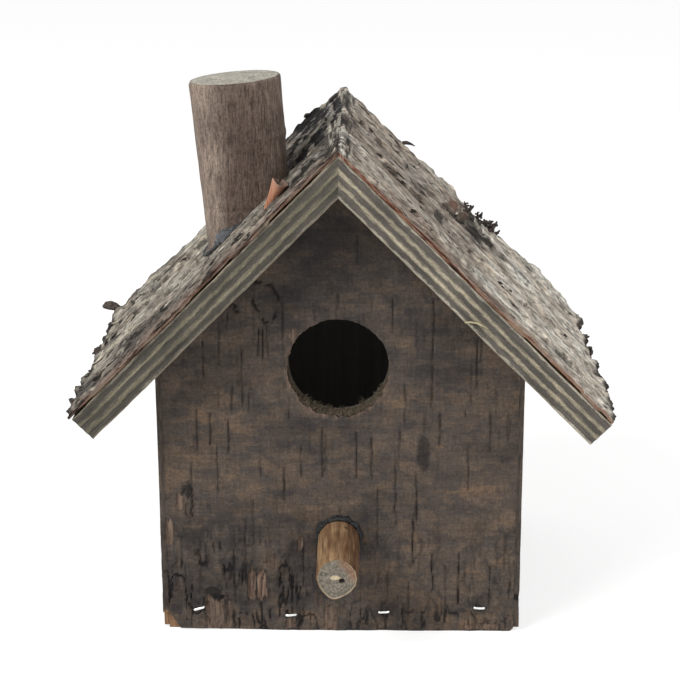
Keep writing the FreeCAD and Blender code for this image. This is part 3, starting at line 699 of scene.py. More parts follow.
def curl_paint():
    """Fresh orange inner bark with fine lines along it, grey-brown on its other face."""
    paint = Paint("orange_inner_bark", specular=0.2)
    lines = paint.noise((0.5, 0.5, 5), 3, shift=2.2)
    colour = paint.ramp(lines, ((150, 98, 72), (196, 140, 110)))
    tip = paint.math("MULTIPLY", "tip", 0.5)
    weathered = paint.ramp(lines, ((92, 76, 68), (140, 118, 106)))
    behind = paint.span("under", 0.4, 0.6)
    colour = paint.cover(colour, (tip, (176, 146, 126)), (behind, weathered))
    return paint.finish(colour, lines, 0.6, 0.8, lines, 0.2)


# Wall bark

# Long slits in the front bark: x, top, bottom and how dark each is.
SLITS = (
    (-34.4, 85, 76, 0.8), (-38.4, 85, 77, 0.4), (-30.7, 86, 78, 0.5), (-41.2, 76, 64, 1.0),
    (-35.6, 74, 61, 0.8), (-46.5, 69, 63, 0.5), (-25.6, 61, 53, 0.6), (-12.4, 65, 53, 0.7),
    (-5.6, 71, 53, 0.7), (-4.7, 69, 55, 0.6), (-18.1, 58, 45, 0.9), (-28.0, 47, 30, 0.5),
    (-30.7, 40, 16, 0.7), (-34.5, 30, 9, 0.8), (-15.8, 22, 3, 0.8), (-12.0, 32, 15, 0.7),
    (20.5, 86, 72, 0.8), (28.8, 86, 77, 0.7), (13.2, 80, 75, 0.4), (31.7, 76, 64, 0.8),
    (39.6, 77, 74, 0.9), (47.7, 77, 62, 0.6), (53.4, 76, 66, 0.6), (5.3, 70, 53, 0.8),
    (10.0, 68, 53, 0.9), (17.5, 60, 41, 0.8), (24.4, 56, 38, 0.9), (23.5, 42, 23, 1.0),
    (40.8, 66, 49, 0.7), (11.8, 51, 29, 0.6), (29.8, 28, 13, 0.9), (38.2, 28, 9, 1.0), (48.5, 24, 9, 0.7),
    (55.0, 19, 11, 0.8), (53.5, 35, 27, 0.6), (-35.4, 109, 103, 0.8), (-25.6, 104, 94, 1.0),
    (-31.0, 97, 77, 0.7), (-43.0, 100, 87, 0.7), (-17.9, 113, 99, 0.6), (5.4, 134, 124, 0.6),
    (10.3, 115, 109, 0.5), (16.6, 114, 102, 0.7), (29.2, 114, 79, 0.7), (43.2, 101, 84, 0.8),
    (-24.2, 104, 93, 0.9), (-22.4, 100, 92, 0.6), (-27.5, 22, 10, 0.9),
)
# Curved cracks round an old knot, left of the entrance's top.
KNOT_CRACKS = (
    ((-28, 119), (-24, 118.5), (-20.5, 117), (-18.8, 113.5), (-19.6, 109)),
    ((-27, 113), (-25, 107), (-23.5, 104.5), (-20.5, 107.5), (-19.8, 110)),
    ((-36, 111), (-33, 110.5), (-31.5, 108.5)),
)
# A ring-shaped gash at the left edge: middle and reach.
GASH, GASH_REACH = (-48.8, 45), (1.3, 6.2)
# Warm and dark patches of the front bark: middle, reach and strength.
WARM_PATCHES = (
    (45, 51, 10, 8, 0.22), (34, 45, 8, 5, 0.14), (-2, 47, 14, 5, 0.15), (18, 67, 11, 4, 0.15),
    (-42, 70, 14, 8, 0.1), (-32, 55, 14, 9, 0.08), (-56, 35, 2.2, 5, 0.4), (34, 24, 30, 44, 0.13),
    (-22.5, 24, 4.5, 4.5, 0.2), (-54, 84, 4, 6, 0.14), (7, 121, 3, 6, 0.12), (23, 17, 8, 8, 0.12),
    (52, 78, 4, 8, 0.12), (-51, 44, 2, 4, 0.2), (-8, 105, 3, 5, 0.12), (-20, 84, 8, 5, 0.06),
    (0, 4, 64, 7, 0.12), (0, 56, 28, 9, 0.1),
)
# Among the dark patches, the one under the gable's top is painted shade under the roof, and the four low
# ones are painted shade round the staples.
DARK_AND_SHADED_PATCHES = (
    (0, 132, 36, 20, 0.15), (-26, 112, 16, 14, 0.1), (38, 100, 12, 12, 0.1), (-38, 20, 20, 18, 0.14),
    (10, 36, 5, 9, 0.12), (26.5, 62, 2.4, 6.5, 0.25), (-14, 18, 14, 16, 0.14), (44, 37, 8, 3, 0.14),
    (30, 92, 10, 8, 0.08), (53, 60, 3, 6, 0.12), (-46, 9, 5, 3, 0.25), (-16, 6.5, 5, 3, 0.2),
    (14, 7.5, 5, 3, 0.2), (45, 9.5, 5, 3, 0.2),
)
# Spots where the bark is torn off and its pale inside shows: middle, reach and strength.
TORN_SPOTS = (
    (-29.1, 16.5, 1.3, 6.0, 0.9), (-25.8, 16.2, 1.6, 5.6, 1.0), (-41.2, 6.0, 3.2, 6.4, 0.65),
    (-3.2, 4.6, 2.2, 4.8, 0.65), (-13.2, 31, 0.8, 2.4, 0.9), (46, 1.6, 6, 1.2, 0.7),
    (-51.8, 45, 1.0, 3.0, 0.7), (-55.4, 34.5, 1.2, 4.4, 0.7), (-16.2, 2.6, 1.8, 2.2, 0.7),
    (-36.5, 6, 0.8, 5.0, 0.5), (-22.6, 25, 2.2, 3.2, 0.35), (-7.2, 11, 1.4, 3.0, 0.4),
    (-14.6, 101.5, 1.1, 2.4, 0.6),
)
SIDE_TORN_SPOTS = (
    (5, 12, 2, 5, 0.9), (-30, 8, 3, 4, 0.8), (28, 20, 1.5, 5, 0.9), (-48, 34, 2, 6, 0.6),
)
# The front bark's broken corner: its height at the edge, and its fall for each millimetre inwards.
CHIP_HEIGHT, CHIP_FALL = 6.6, 1.6
# The chip at the left bark's front foot: the y where it ends, and its top.
SIDE_CHIP_END, SIDE_CHIP_TOP = -47.6, 6.2
# Dark hollows of old knots, and, by the leftmost staple, two marks that are the painted shadow of a torn
# fold: middle, reach and darkness.
DARK_KNOTS_AND_FOLD_SHADOW = (
    (26.6, 62, 2.3, 6.6, 0.5), (27.2, 61.5, 0.7, 1.5, 0.6), (-41.4, 13.4, 3.2, 1.7, 0.75),
    (-48.9, 48.5, 0.6, 2.2, 0.8), (-48.3, 30.5, 3.2, 5.0, 0.3), (-20.4, 113, 1.6, 3.0, 0.3),
    (-40.2, 11.9, 2.2, 0.9, 1.0),
)


def slit_marks(x, z, slits, seed):
    """How deep in a slit each point lies, 0 to 1; slits wander, break off and taper."""
    depth = np.zeros_like(x)
    for number, (middle, top, bottom, strength) in enumerate(slits):
        row = 3.7 * number
        wander = swell(0.9, z / 6, row, seed, 3)
        width = 0.30 * (0.5 + noise(z / 2.5, row, seed + 1))
        whole = 0.75 + 0.25 * smooth(noise(z / 1.8, row, seed + 2), 0.2, 0.45)
        ends = smooth(z, bottom - 0.5, bottom + 1.5) * smooth(z, top + 0.5, top - 1.5)
        depth = np.maximum(depth, strength * whole * ends * bell(x, middle + wander, width))
    return depth


def random_slits(seed, count, reach, top):
    """Seeded slits for the bark that the photograph doesn't show, or shows faintly."""
    draw = np.random.default_rng(seed)
    slits = []
    for _ in range(count):
        middle = draw.uniform(*reach)
        high = draw.uniform(10, top)
        slits.append((middle, high, high - draw.uniform(5, 18), draw.uniform(0.25, 0.7)))
    return slits


def bark_relief(x, z, slits, torn, rough, seed):
    """Lift over the sheet's plane, and its marks for slits and for peeled bark.

    rough, from 0 to 1, says how far the bark has broken up at each point.
    """
    lift = swell(0.5, x / 24, z / 30, seed) + swell(0.25, x / 6, z / 4, seed + 10)
    plates = cloud(x / 3.6, z / 11, seed + 20)
    lift += rough * (0.5 * smooth(plates, 0.46, 0.50) + 0.5 * smooth(plates, 0.57, 0.60) - 0.4)
    patchy = rough * smooth(cloud(x / 8, z / 9, seed + 25), 0.30, 0.50)
    seams = crack(x / 4.5, z / 15, seed + 50, 0.035)
    seams = patchy * np.maximum(seams, smooth(cloud(x / 1.1, z / 6, seed + 55, 3), 0.66, 0.76))
    slit = slit_marks(x, z, slits, seed + 30)
    peel = torn_strips(x, z, torn, seed + 40)
    lift -= 0.6 * slit + 0.5 * peel + 0.5 * seams
    lift += 0.35 * smooth(blurred(peel, 2), 0.05, 0.3) * (1 - peel)
    rim = smooth(blurred(peel, 1), 0.1, 0.5) * (1 - smooth(peel, 0.2, 0.6))
    slit = np.maximum.reduce([slit, seams * (1 - peel), 0.8 * rim])
    return lift, np.clip(slit, 0, 1), peel


def cut_holes(x, z, holes):
    """Moves the points at the holes' rims onto them, and says which cells stay round holes and chip."""
    mid_x = (x[1:, 1:] + x[:-1, :-1]) / 2
    mid_z = (z[1:, 1:] + z[:-1, :-1]) / 2
    keep = np.ones(mid_x.shape, bool)
    for a, b, radius in holes:
        keep &= np.hypot(mid_x - a, mid_z - b) > radius
    touched = np.pad(keep, 1, constant_values=True)
    quarters = [touched[i:i + x.shape[0], j:j + x.shape[1]] for i in (0, 1) for j in (0, 1)]
    on_rim = np.any(quarters, 0) & ~np.all(quarters, 0)
    for a, b, radius in holes:
        near = on_rim & (np.abs(np.hypot(x - a, z - b) - radius) < 1.5)
        angle = np.arctan2(z - b, x - a)
        torn = 0.8 + 0.9 * smooth(-np.sin(angle), 0.1, 0.7)
        ragged = radius + swell(torn, angle * 12, 0, 77, 3, middle=0.4)
        x = np.where(near, a + ragged * np.cos(angle), x)
        z = np.where(near, b + ragged * np.sin(angle), z)
    return x, z, keep & ~front_chip(mid_x, mid_z)


def front_chip(x, z):
    """The lower left corner where the bark has broken off."""
    return z < CHIP_HEIGHT - CHIP_FALL * (x + HALF_WIDTH) + swell(1.4, x * 0.9, z * 0.9, 5, 3)


def knot_relief(x, z):
    """Lift and darkness of the old knots: curved cracks, a ring-shaped gash and dark hollows, two of which
    are the painted shadow of a torn fold.
    """
    stray_x = x + swell(3.0, x / 3, z / 3, 81, 4, 0.6)
    stray_z = z + swell(3.0, x / 3, z / 3, 82, 4, 0.6)
    broken = 0.9 * smooth(cloud(x / 1.8, z / 1.8, 83), 0.30, 0.46)
    cracks = [broken * bell(distance(stray_x, stray_z, line), 0, 0.4) for line in KNOT_CRACKS]
    away = np.hypot((stray_x - GASH[0]) / GASH_REACH[0], (stray_z - GASH[1]) / GASH_REACH[1])
    ring = bell(away, 1, 0.24) * smooth(cloud(x / 2, z / 2, 84), 0.2, 0.4)
    # Two of these dark hollows are painted shadow under a torn fold.
    hollows = covered(x, z, DARK_KNOTS_AND_FOLD_SHADOW, 85, 0.7, soft=0.15)
    lift = 0.6 * spot(x, z, GASH, (1.2, 6)) - 0.4 * ring - 0.5 * hollows - 0.9 * sum(cracks)
    return lift, np.maximum.reduce([*cracks, 0.9 * ring, hollows])


def torn_rim(x, z):
    """Where the bark is torn round the lower left of the entrance."""
    a, b, radius = ENTRANCE
    near = smooth(np.hypot(x - a, z - b) - radius, 1.8, 0.2)
    return near * smooth(cloud(x / 1.4, z / 1.4, 87), 0.35, 0.55) * smooth(b - z - x, -14, 6)


def front_bark(paint):
    """Front sheet up to the gable, with its holes, long slits, old knots and a broken-up foot."""
    cols, rows = FRONT_GRID
    x, share = np.meshgrid(np.linspace(-HALF_WIDTH, HALF_WIDTH, cols), np.linspace(0, 1, rows))
    foot = 0.15 * noise(x / 6, 0, 3) + smooth(np.abs(x), HALF_WIDTH - 1.6, HALF_WIDTH) ** 2
    foot += 0.5 * smooth(-x, 10, HALF_WIDTH)
    z = foot + share * (GABLE_TOP - HEAD_GAP - np.abs(x) - foot)
    x, z, keep = cut_holes(x, z, (ENTRANCE, PERCH_HOLE))
    slits = SLITS + tuple(random_slits(11, count=60, reach=(-55, 55), top=130))
    rough = 0.12 + 0.88 * smooth(z, 42, 20) * (0.35 + 0.65 * smooth(x, 5, -22))
    rough = np.maximum(rough, 0.8 * smooth(z, 13, 6))
    lift, slit, peel = bark_relief(x, z, slits, TORN_SPOTS, rough, 100)
    knot_lift, knots = knot_relief(x, z)
    lift += knot_lift
    lift = (lift - blurred(lift, 20).mean()) * (1 - 0.8 * smooth(z, 3.0, 0.8))
    # The dark patches lower the warmth; some of them are painted shade, under the roof and round the
    # staples.
    warm = covered(x, z, WARM_PATCHES, 61, soft=0.7) - covered(x, z, DARK_AND_SHADED_PATCHES, 62, soft=0.7)
    warm += rough * swell(0.5, x / 2.5, z / 8, 86)
    front = np.stack([x, BARK_FRONT + 0.15 - lift, z], -1)
    back = np.stack([x, np.full_like(x, WALL_FRONT), z], -1)
    marks = {
        "slit": np.maximum(slit, knots), "peel": np.maximum(peel, 0.7 * torn_rim(x, z)),
        "warm": warm, "fresh": np.zeros_like(x),
    }
    plan = front[..., [0, 2]]
    add_sheet("front_bark_sheet", front, back, plan, marks, paint, "wall_bark", "front_bark", keep)


def side_bark(side, paint):
    """Side sheet, bevelled under the roof; the left one is chipped at its front foot."""
    name = SIDE_NAME[side] + "_bark"
    seed = {LEFT: 300, RIGHT: 400}[side]
    low, high = box_mm(name)
    thick = high[0] - low[0]
    cols, rows = SIDE_GRID
    y, share = np.meshgrid(np.linspace(low[1], high[1], cols)[::side], np.linspace(0, 1, rows))
    outer_head = GABLE_TOP - HEAD_GAP - HALF_WIDTH - thick
    foot = low[2] + 0.5 * noise(y / 4, 0, 9) + smooth(-y, 46.0, 50.0)
    z = foot + share * (outer_head - foot)
    inner_z = foot + share * (outer_head + thick - foot)
    slits = random_slits(seed, count=70, reach=(low[1], high[1]), top=92)
    rough = 0.15 + 0.85 * smooth(z, 34, 14)
    lift, slit, peel = bark_relief(y, z, slits, SIDE_TORN_SPOTS, rough, seed)
    lift = np.clip(lift - lift.mean(), -0.9, 0.9) * (1 - 0.8 * smooth(np.abs(y), 40, 47))
    ragged = y + swell(0.15, z / 3, 0, seed + 60, 1) * smooth(np.abs(y), 47, 50)
    front = np.stack([side * (HALF_WIDTH + thick - 0.3 + lift), ragged, z], -1)
    back = np.stack([np.full_like(y, side * HALF_WIDTH), ragged, inner_z], -1)
    to_chip = smooth(y - SIDE_CHIP_END, 3.6, 1.6) * smooth(z - SIDE_CHIP_TOP, 1.2, 0.2)
    marks = {
        "slit": slit, "peel": peel, "warm": swell(0.25, y / 16, z / 22, seed + 50),
        "fresh": to_chip * (side == LEFT),
    }
    chipped = (side == LEFT) & (y < SIDE_CHIP_END) & (z < SIDE_CHIP_TOP)
    plan = np.stack([side * y, z], -1)
    keep = ~chipped[:-1, :-1]
    add_sheet(name + "_sheet", front, back, plan, marks, paint, "wall_bark", name, keep)


# Roof

def on_slope(side, s, y, lift):
    """Point s down the slope from the ridge and lift over the roof panels' top."""
    return np.stack([side * C45 * (s + lift), y, PLY_APEX - C45 * (s - lift)], -1)


def panel_length(side):
    """Length of a roof panel's top from the ridge to the eave."""
    low, high = box_mm(SIDE_NAME[side] + "_roof_panel")
    return max(abs(low[0]), abs(high[0])) / C45


def add_slope_sheet(name, side, front, back, plan, marks, paint, slot, node):
    """Adds a sheet on a slope; the columns of the left one are turned round, so that its faces look out."""
    order = slice(None, None, side)
    marks = {mark: grid[:, order] for mark, grid in marks.items()}
    add_sheet(name, front[:, order], back[:, order], plan[:, order], marks, paint, slot, node)


# Zones of the roof bark: middle down the slope and in y, reach of each and strength.
SMOOTH_ZONES = {
    LEFT: (
        (65, -19, 13, 13, 0.6), (98, 30, 14, 14, 0.4), (72, 34, 8, 12, 0.4),
    ),
    RIGHT: (
        (90, -12, 24, 44, 0.55), (84, 34, 18, 16, 0.45), (72, -58, 60, 10, 0.3),
    ),
}
GRIMY_ZONES = {
    LEFT: (
        (95, -48, 34, 15, 0.45), (90, 16, 9, 14, 0.35), (119, 0, 4, 70, 0.7), (45, -8, 22, 26, 0.4),
        (18, -46, 24, 18, 0.6), (60, -58, 70, 8, 0.5), (0, -8, 9, 70, 0.9),
    ),
    RIGHT: (
        (43, -22, 15, 28, 0.36), (61, 12, 8, 24, 0.9), (28, -4, 14, 26, 0.35), (106, 4, 7, 11, 0.5),
        (120, 0, 3.5, 70, 0.8), (20, 20, 6, 14, 0.4), (0, -8, 8, 70, 0.8),
    ),
}
PITS = {
    LEFT: (
        (95.6, 0.6, 2.6, 5.5, 1.0), (77, 19, 2.2, 4, 0.8), (69, -5, 1.6, 5, 1.0), (78, -27, 1.6, 5, 0.9),
        (70.6, -36, 2, 4, 0.9), (92.5, -44, 2, 4, 0.9), (88, -30, 1.5, 5, 0.8), (101, -26, 2, 5, 0.9),
        (66, 11, 1.6, 3, 0.8), (84, 9, 1.6, 3, 0.7), (87.5, 20, 1.4, 4, 0.8), (102, 3, 2, 3, 0.6),
        (80, -45, 2, 4, 0.8), (106, -50, 2, 5, 0.8),
    ),
    RIGHT: (
        (23, 19, 2, 5, 1.0), (31, -9, 2.6, 6, 0.9), (16, 2.5, 2.2, 3, 0.8), (5, 9, 3, 3, 0.7),
        (104, 2, 2.4, 6, 0.8), (97, -44, 2.2, 2, 0.5), (62, 4, 3, 5, 0.9), (43, -20, 2, 7, 0.9),
    ),
}
RUSTY_SPOTS = {
    LEFT: (
        (75, 1, 1.6, 6, 0.9), (74, -57, 3, 4, 0.8), (60, -65, 62, 5, 0.6),
    ),
    RIGHT: (
        (26, -58, 9, 6, 0.5), (24, 24, 2, 6, 0.4), (60, -66, 62, 4, 0.6), (28, 0, 30, 62, 0.2),
    ),
}
# Two stubs of twigs on the right bark: middle down the slope and in y, and radius.
KNOBS = ((49.5, 12.0, 2.5), (54.6, 12.0, 1.9))
KNOB_HEIGHT = 3.6
# Seeds for the relief of the roof bark and for its edges.
RELIEF_SEED = {LEFT: 500, RIGHT: 600}
EDGE_SEED = {LEFT: 700, RIGHT: 800}


def solid_lift(node, side, s, y):
    """Height of a packed bark over the roof panel, felt by rays straight onto the slope."""
    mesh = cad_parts[node].data
    tree = BVHTree.FromPolygons([v.co for v in mesh.vertices], [p.vertices for p in mesh.polygons])
    inward = Vector((-side * C45, 0, -C45))
    far = 20.0
    starts = on_slope(side, s, y, far).reshape(-1, 3) * MM
    reached = [tree.ray_cast(Vector(start), inward)[3] for start in starts]
    lifts = [ROOF_BARK if way is None else far - way / MM for way in reached]
    return np.reshape(lifts, s.shape)


def steepness(lift, s, y):
    """Rise of a surface over its plan, as a number of millimetres for each one."""
    down = np.gradient(lift, axis=1) / np.maximum(np.gradient(s, axis=1), 0.05)
    back = np.gradient(lift, axis=0) / np.maximum(np.gradient(y, axis=0), 0.05)
    return np.hypot(down, back)


def knob_distance(side, s, y):
    """Distance to the nearest knob, in radii of it; the left bark has none."""
    if side == LEFT:
        return np.full_like(s, 1e3)
    return np.minimum.reduce([np.hypot(s - a, y - b) / radius for a, b, radius in KNOBS])


def plate_lift(node, side, s, y, away, rough):
    """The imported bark's plates and ridges with ragged borders, and thin broken layers over them."""
    seed = RELIEF_SEED[side]
    stray = smooth(y, 42, 34)
    ragged_s = s + stray * swell(8.0, s / 9, y / 5, seed + 3, 5, 0.65)
    ragged_y = y + stray * swell(5.0, s / 9, y / 5, seed + 5, 5, 0.65)
    solid = solid_lift(node, side, ragged_s, ragged_y)
    lift = blurred(np.where(away < 1.6, ROOF_BARK, solid), 1)
    lift += swell(0.7, s / 20, y / 12, seed + 2) + rough * swell(0.5, s / 8, y / 4, seed + 7)
    layers = cloud(s / 26, y / 8, seed + 11, 5, 0.55)
    return lift + rough * (0.4 * smooth(layers, 0.44, 0.46) + 0.4 * smooth(layers, 0.54, 0.56) - 0.4)


def roof_pits(side, s, y, rough):
    """Long pits between the plates."""
    seed = RELIEF_SEED[side]
    pits = 0.7 * smooth(cloud(s / 16, y / 3.5, seed + 21, 5, 0.6), 0.62, 0.72) * smooth(rough, 0.3, 0.7)
    return np.maximum(pits, covered(s, y, PITS[side], seed + 50, 1.6))


def roof_crust(side, s, y):
    """Black crust: high on the left slope; along the ridge and round the lichen on the right one."""
    seed = RELIEF_SEED[side]
    broken = smooth(cloud(s / 8, y / 9, seed + 33), 0.34, 0.44)
    if side == LEFT:
        return smooth(s, 32, 20) * smooth(y, -44, -26) * broken
    return np.maximum(0.5 * smooth(s, 5, 1) * broken, 0.8 * spot(s, y, (63, 22), (6, 22), seed + 35, 1.4))


def skyline(side, s, y):
    """Rise and fall of the bark's back edge."""
    rise = swell(1.6, s / 3.5, y / 8, RELIEF_SEED[side] + 31, 3)
    if side == LEFT:
        rise -= smooth(s, 38, 50) * smooth(s, 98, 82)
    else:
        rise += 1.2 * smooth(s, 74, 84) * smooth(s, 106, 98)
    return rise * smooth(y, 26, 45)


def roof_marks(side, s, y, lift, rough, away, pits, crust, strands):
    """Marks for the roof bark's paint, with painted shade in hollows, on steep faces, in pits, between the
    strands near the ridge and round the knobs; away is the distance to the knobs.
    """
    seed = RELIEF_SEED[side]
    near_ridge = smooth(s, 8, 3)
    knobs = 1 - smooth(away, 0.85, 1.0)
    grime = covered(s, y, GRIMY_ZONES[side], seed + 70, 1.2, soft=0.8) * (1 - knobs)
    if side == LEFT:
        fringe = np.maximum(smooth(y, -36, -52), 0.6 * smooth(s, 84, 104))
        paler = 0.5 * smooth(s, 50, 60) * smooth(y, -34, -22)
    else:
        fringe = 0.2 * smooth(s, 60, 40)
        paler = smooth(s, 54, 74)
        grime = np.maximum(grime, 0.6 * spot(s, y, KNOBS[1][:2], (1.9, 1.9)))
    # Painted shade: darker where the bark lies below its surroundings, on steep faces, in pits, between the
    # strands near the ridge and round the knobs' feet.
    hollow = smooth(blurred(lift, 5) - lift, 0.2, 0.7)
    steep = smooth(steepness(lift, s, y), 0.8, 1.8)
    between = near_ridge * smooth(strands, 0.47, 0.38)
    round_knobs = smooth(away, 1.5, 1.0)
    painted_shade = np.maximum.reduce([0.85 * hollow, 0.6 * steep, 0.8 * pits, 0.9 * between, 0.85 * round_knobs])
    pale_strands = 0.8 * near_ridge * smooth(strands, 0.53, 0.62)
    marks = {
        "painted_shade": painted_shade * (1 - knobs),
        "crust": crust,
        "rust": np.maximum(covered(s, y, RUSTY_SPOTS[side], seed + 60, 0.8), knobs),
        "grime": grime,
        # Fewer dark flecks of painted crevice shade where this is high.
        "fleck_free": 0.07 + 0.12 * (0.8 - rough) - 0.13 * fringe + knobs,
    }
    marks = {mark: np.clip(grid, 0, 1) for mark, grid in marks.items()}
    for mark in ("grime", "crust"):
        marks[mark] = marks[mark] * (1 - pale_strands)
    marks["tone"] = np.maximum(0.15 * paler - 0.03, 0.3 * pale_strands)
    return marks


def roof_relief(node, side, s, y):
    """Lift of the weathered bark over the panel, and the marks for its paint."""
    seed = RELIEF_SEED[side]
    rough = 0.8 - covered(s, y, SMOOTH_ZONES[side], seed + 40, soft=0.8)
    away = knob_distance(side, s, y)
    pits = roof_pits(side, s, y, rough)
    crust = roof_crust(side, s, y)
    lift = plate_lift(node, side, s, y, away, rough) - 0.9 * pits
    lift += crust * swell(2.6, s / 10, y / 5, seed + 29, 4, 0.6, middle=0.45) + skyline(side, s, y)
    dome = np.sqrt(np.clip(1 - away ** 2, 0, 1))
    lift = np.maximum.reduce([lift, (ROOF_BARK + KNOB_HEIGHT * dome) * (dome > 0), np.full_like(s, 0.7)])
    seam = 2.3 + swell(0.8, y / 22, 0, 690, 1) - 0.6 * smooth(s, 1.6, 0.0)
    lift = lift + smooth(s, 5, 0.5) * (seam - lift)
    strands = cloud(s / 1.6, y / 18, seed + 44, 5, 0.65)
    lift += 1.4 * smooth(s, 8, 3) * smooth(s, 0.0, 1.0) * (strands - 0.5)
    return lift, roof_marks(side, s, y, lift, rough, away, pits, crust, strands)


# The finished surface of each roof bark, for what sits on it: places and their lift.
SURFACE = {}


def on_bark(side, s, y, lift=0.0):
    """Point on the roof bark's own surface, or at a lift over it."""
    places_s, places_y, lifts = SURFACE[side]
    nearest = np.argmin(np.hypot(places_s - s, places_y - y))
    return on_slope(side, np.array(s), np.array(y), lifts.flat[nearest] + lift)


def roof_bark(side, paint):
    """Bark sheet with a ragged eave and back, thin along its front and closed over the ridge."""
    name = SIDE_NAME[side] + "_roof_bark"
    seed = EDGE_SEED[side]
    eave, back_edge = panel_length(side) + 1.2, box_mm(name)[1][1]
    p, q = np.meshgrid(*(np.linspace(0, 1, count) for count in BARK_GRID))
    rim = smooth(q, 0.06, 0.0)
    y = ROOF_FRONT + q * (back_edge - ROOF_FRONT)
    s = p * eave + p ** 8 * (swell(4.0, y / 7, 0.5, seed, 5, 0.65) - 1.5 * rim)
    y = y + (1 - q) ** 12 * swell(1.4, s / 7, 0.5, seed + 6, 5, 0.65, middle=0.4)
    y = y + q ** 12 * swell(2.4, s / 10, 0.5, seed + 12, 5, 0.65, middle=0.55)
    lift, marks = roof_relief(name, side, s, y)
    lift = lift + rim * (0.6 + 1.3 * cloud(s / 6, 0, seed + 25, 5, 0.75) - lift)
    lumps = np.clip(cloud(y / 5, s / 5, seed + 30) - 0.45, 0, 1)
    lift = lift * (1 - 0.3 * smooth(p, 0.98, 1.0)) + 5 * lumps * smooth(p, 0.955, 0.985) * (1 - rim)
    # The painted shade is kept along the front only in dashes, and a band of it darkens the eave's torn
    # end.
    dashes = 0.8 * smooth(cloud(s / 5, 0, seed + 27, 4, 0.6), 0.50, 0.60)
    plain_front = smooth(q, 0.012, 0.0) * (1 - dashes)
    marks["painted_shade"] = np.maximum(marks["painted_shade"], 0.85 * smooth(p, 0.975, 0.99)) * (1 - plain_front)
    gap = 0.15 + 0.5 * smooth(cloud(s / 12, 0, seed + 20), 0.45, 0.6)
    gap = gap * (1 - q) ** 6 * smooth(p, 0.0, 0.1)
    SURFACE[side] = s, y, lift + gap
    front = on_slope(side, s - lift * (1 - p) ** 10, y, lift + gap)
    back = on_slope(side, s, y, gap)
    plan = np.stack([side * s, y], -1)
    add_slope_sheet(name + "_sheet", side, front, back, plan, marks, paint, "roof_bark", name)


# Depth of the borders between the panel's seven layers, as shares of its thickness.
LAYER_BORDERS = (0.07, 0.28, 0.425, 0.585, 0.745, 0.91)


def roof_panel(side, paint):
    """Panel whose sawn front shows its layers: the dark ones lie a little back and are torn."""
    name = SIDE_NAME[side] + "_roof_panel"
    cols, rows = PANEL_GRID
    p, depth = np.meshgrid(np.linspace(0, 1, cols), np.linspace(1, 0, rows))
    drop = depth * ROOF_PLY
    s = drop + p * (panel_length(side) - drop)
    sunk = np.where(np.searchsorted(LAYER_BORDERS, depth) % 2 == 1, 0.22, 0.0)
    sunk = blurred(sunk, 1) + swell(0.28, s / 5, drop / 0.8, 900 + side, 3)
    to_face = np.minimum(depth, 1 - depth)
    y = ROOF_FRONT + 0.25 + sunk + 0.25 * smooth(to_face, 0.06, 0.0)
    worn = swell(0.35, s / 6, 0, 905 + side) * smooth(to_face, 0.05, 0.0)
    front = on_slope(side, s, y, -drop - worn * np.sign(depth - 0.5) - 0.05)
    back = on_slope(side, s, np.full_like(s, ROOF_BACK), -drop)
    face = np.zeros_like(s)
    face[[0, -1]] = 1.0
    plan = np.stack([side * s, -drop], -1)
    marks = {"layer": depth, "face": face}
    add_slope_sheet(name + "_board", side, front, back, plan, marks, paint, "roof_plywood", name)


# Branches

CHIMNEY_FOOT = np.array([-30.4, -16.0, PLY_APEX + ROOF_BARK / C45 - 30.4])
CHIMNEY_LEAN = math.radians(4.6)
CHIMNEY_RADIUS, CHIMNEY_TOP_RADIUS, CHIMNEY_LENGTH = 14.1, 14.6, 43.6
# How far the chimney's foot reaches into the bark.
CHIMNEY_SUNK = 1.2
# The chimney's knot: turn in radians, height and upright reach.
KNOT_TURN, KNOT_HEIGHT, KNOT_REACH = 4.58, 25.6, 2.3
# Heights of a bulge on the chimney's right and of a groove in its front, and the groove's turn in radians.
BULGE_HEIGHT, GROOVE_HEIGHT, GROOVE_TURN = 25.0, 3.0, 4.4
# The turn where painted light makes the chimney's bark palest, as if lit from its left.
PAINTED_LIGHT_TURN = math.radians(195)
# Small dark pits of the chimney's bark, low on its left front: middle round and up, reach and darkness.
CHIMNEY_PITS = (
    (24.0, 1.5, 0.5, 0.8, 0.6), (25.2, 3.8, 0.4, 0.7, 0.6), (26.4, 0.8, 0.5, 0.6, 0.6),
    (24.8, 8.5, 0.4, 0.8, 0.5), (28.5, 14, 0.4, 1.0, 0.4), (26.0, 18.5, 0.4, 0.9, 0.4),
)
PERCH_BACK, PERCH_TIP = -42.0, -80.0
PERCH_RADIUS, PERCH_TIP_RADIUS = 6.75, 6.5
# The stub of a twig under the perch's tip: its turn and its width, in radians, and its length.
STUB_TURN, STUB_WIDTH, STUB_LENGTH = math.radians(258), 0.42, 5.0
# A hole and the pith in the perch's sawn end: middle and reach of each.
END_HOLE, END_PITH = ((1.5, -1.1), (0.95, 0.8)), ((-0.6, 0.1), (1.5, 0.75))
# The turn where that end is russet.
RUSSET_TURN = math.radians(35)
# Rows up a branch's side, points round it and rows over its sawn end.
CHIMNEY_GRID, PERCH_GRID = (110, 240, 26), (90, 160, 28)
BRANCH_MARKS = ("end", "ring", "lines", "slit", "pale", "russet")


def branch_plan(rows, count, cap_rows):
    """Shares and turns over a branch: up its side, then inwards over its sawn end."""
    angle = turns(count)
    side = np.meshgrid(np.linspace(0, 1, rows), angle, indexing="ij")
    cap = np.meshgrid(np.linspace(1, 0.004, cap_rows)[1:], angle, indexing="ij")
    return *side, *cap


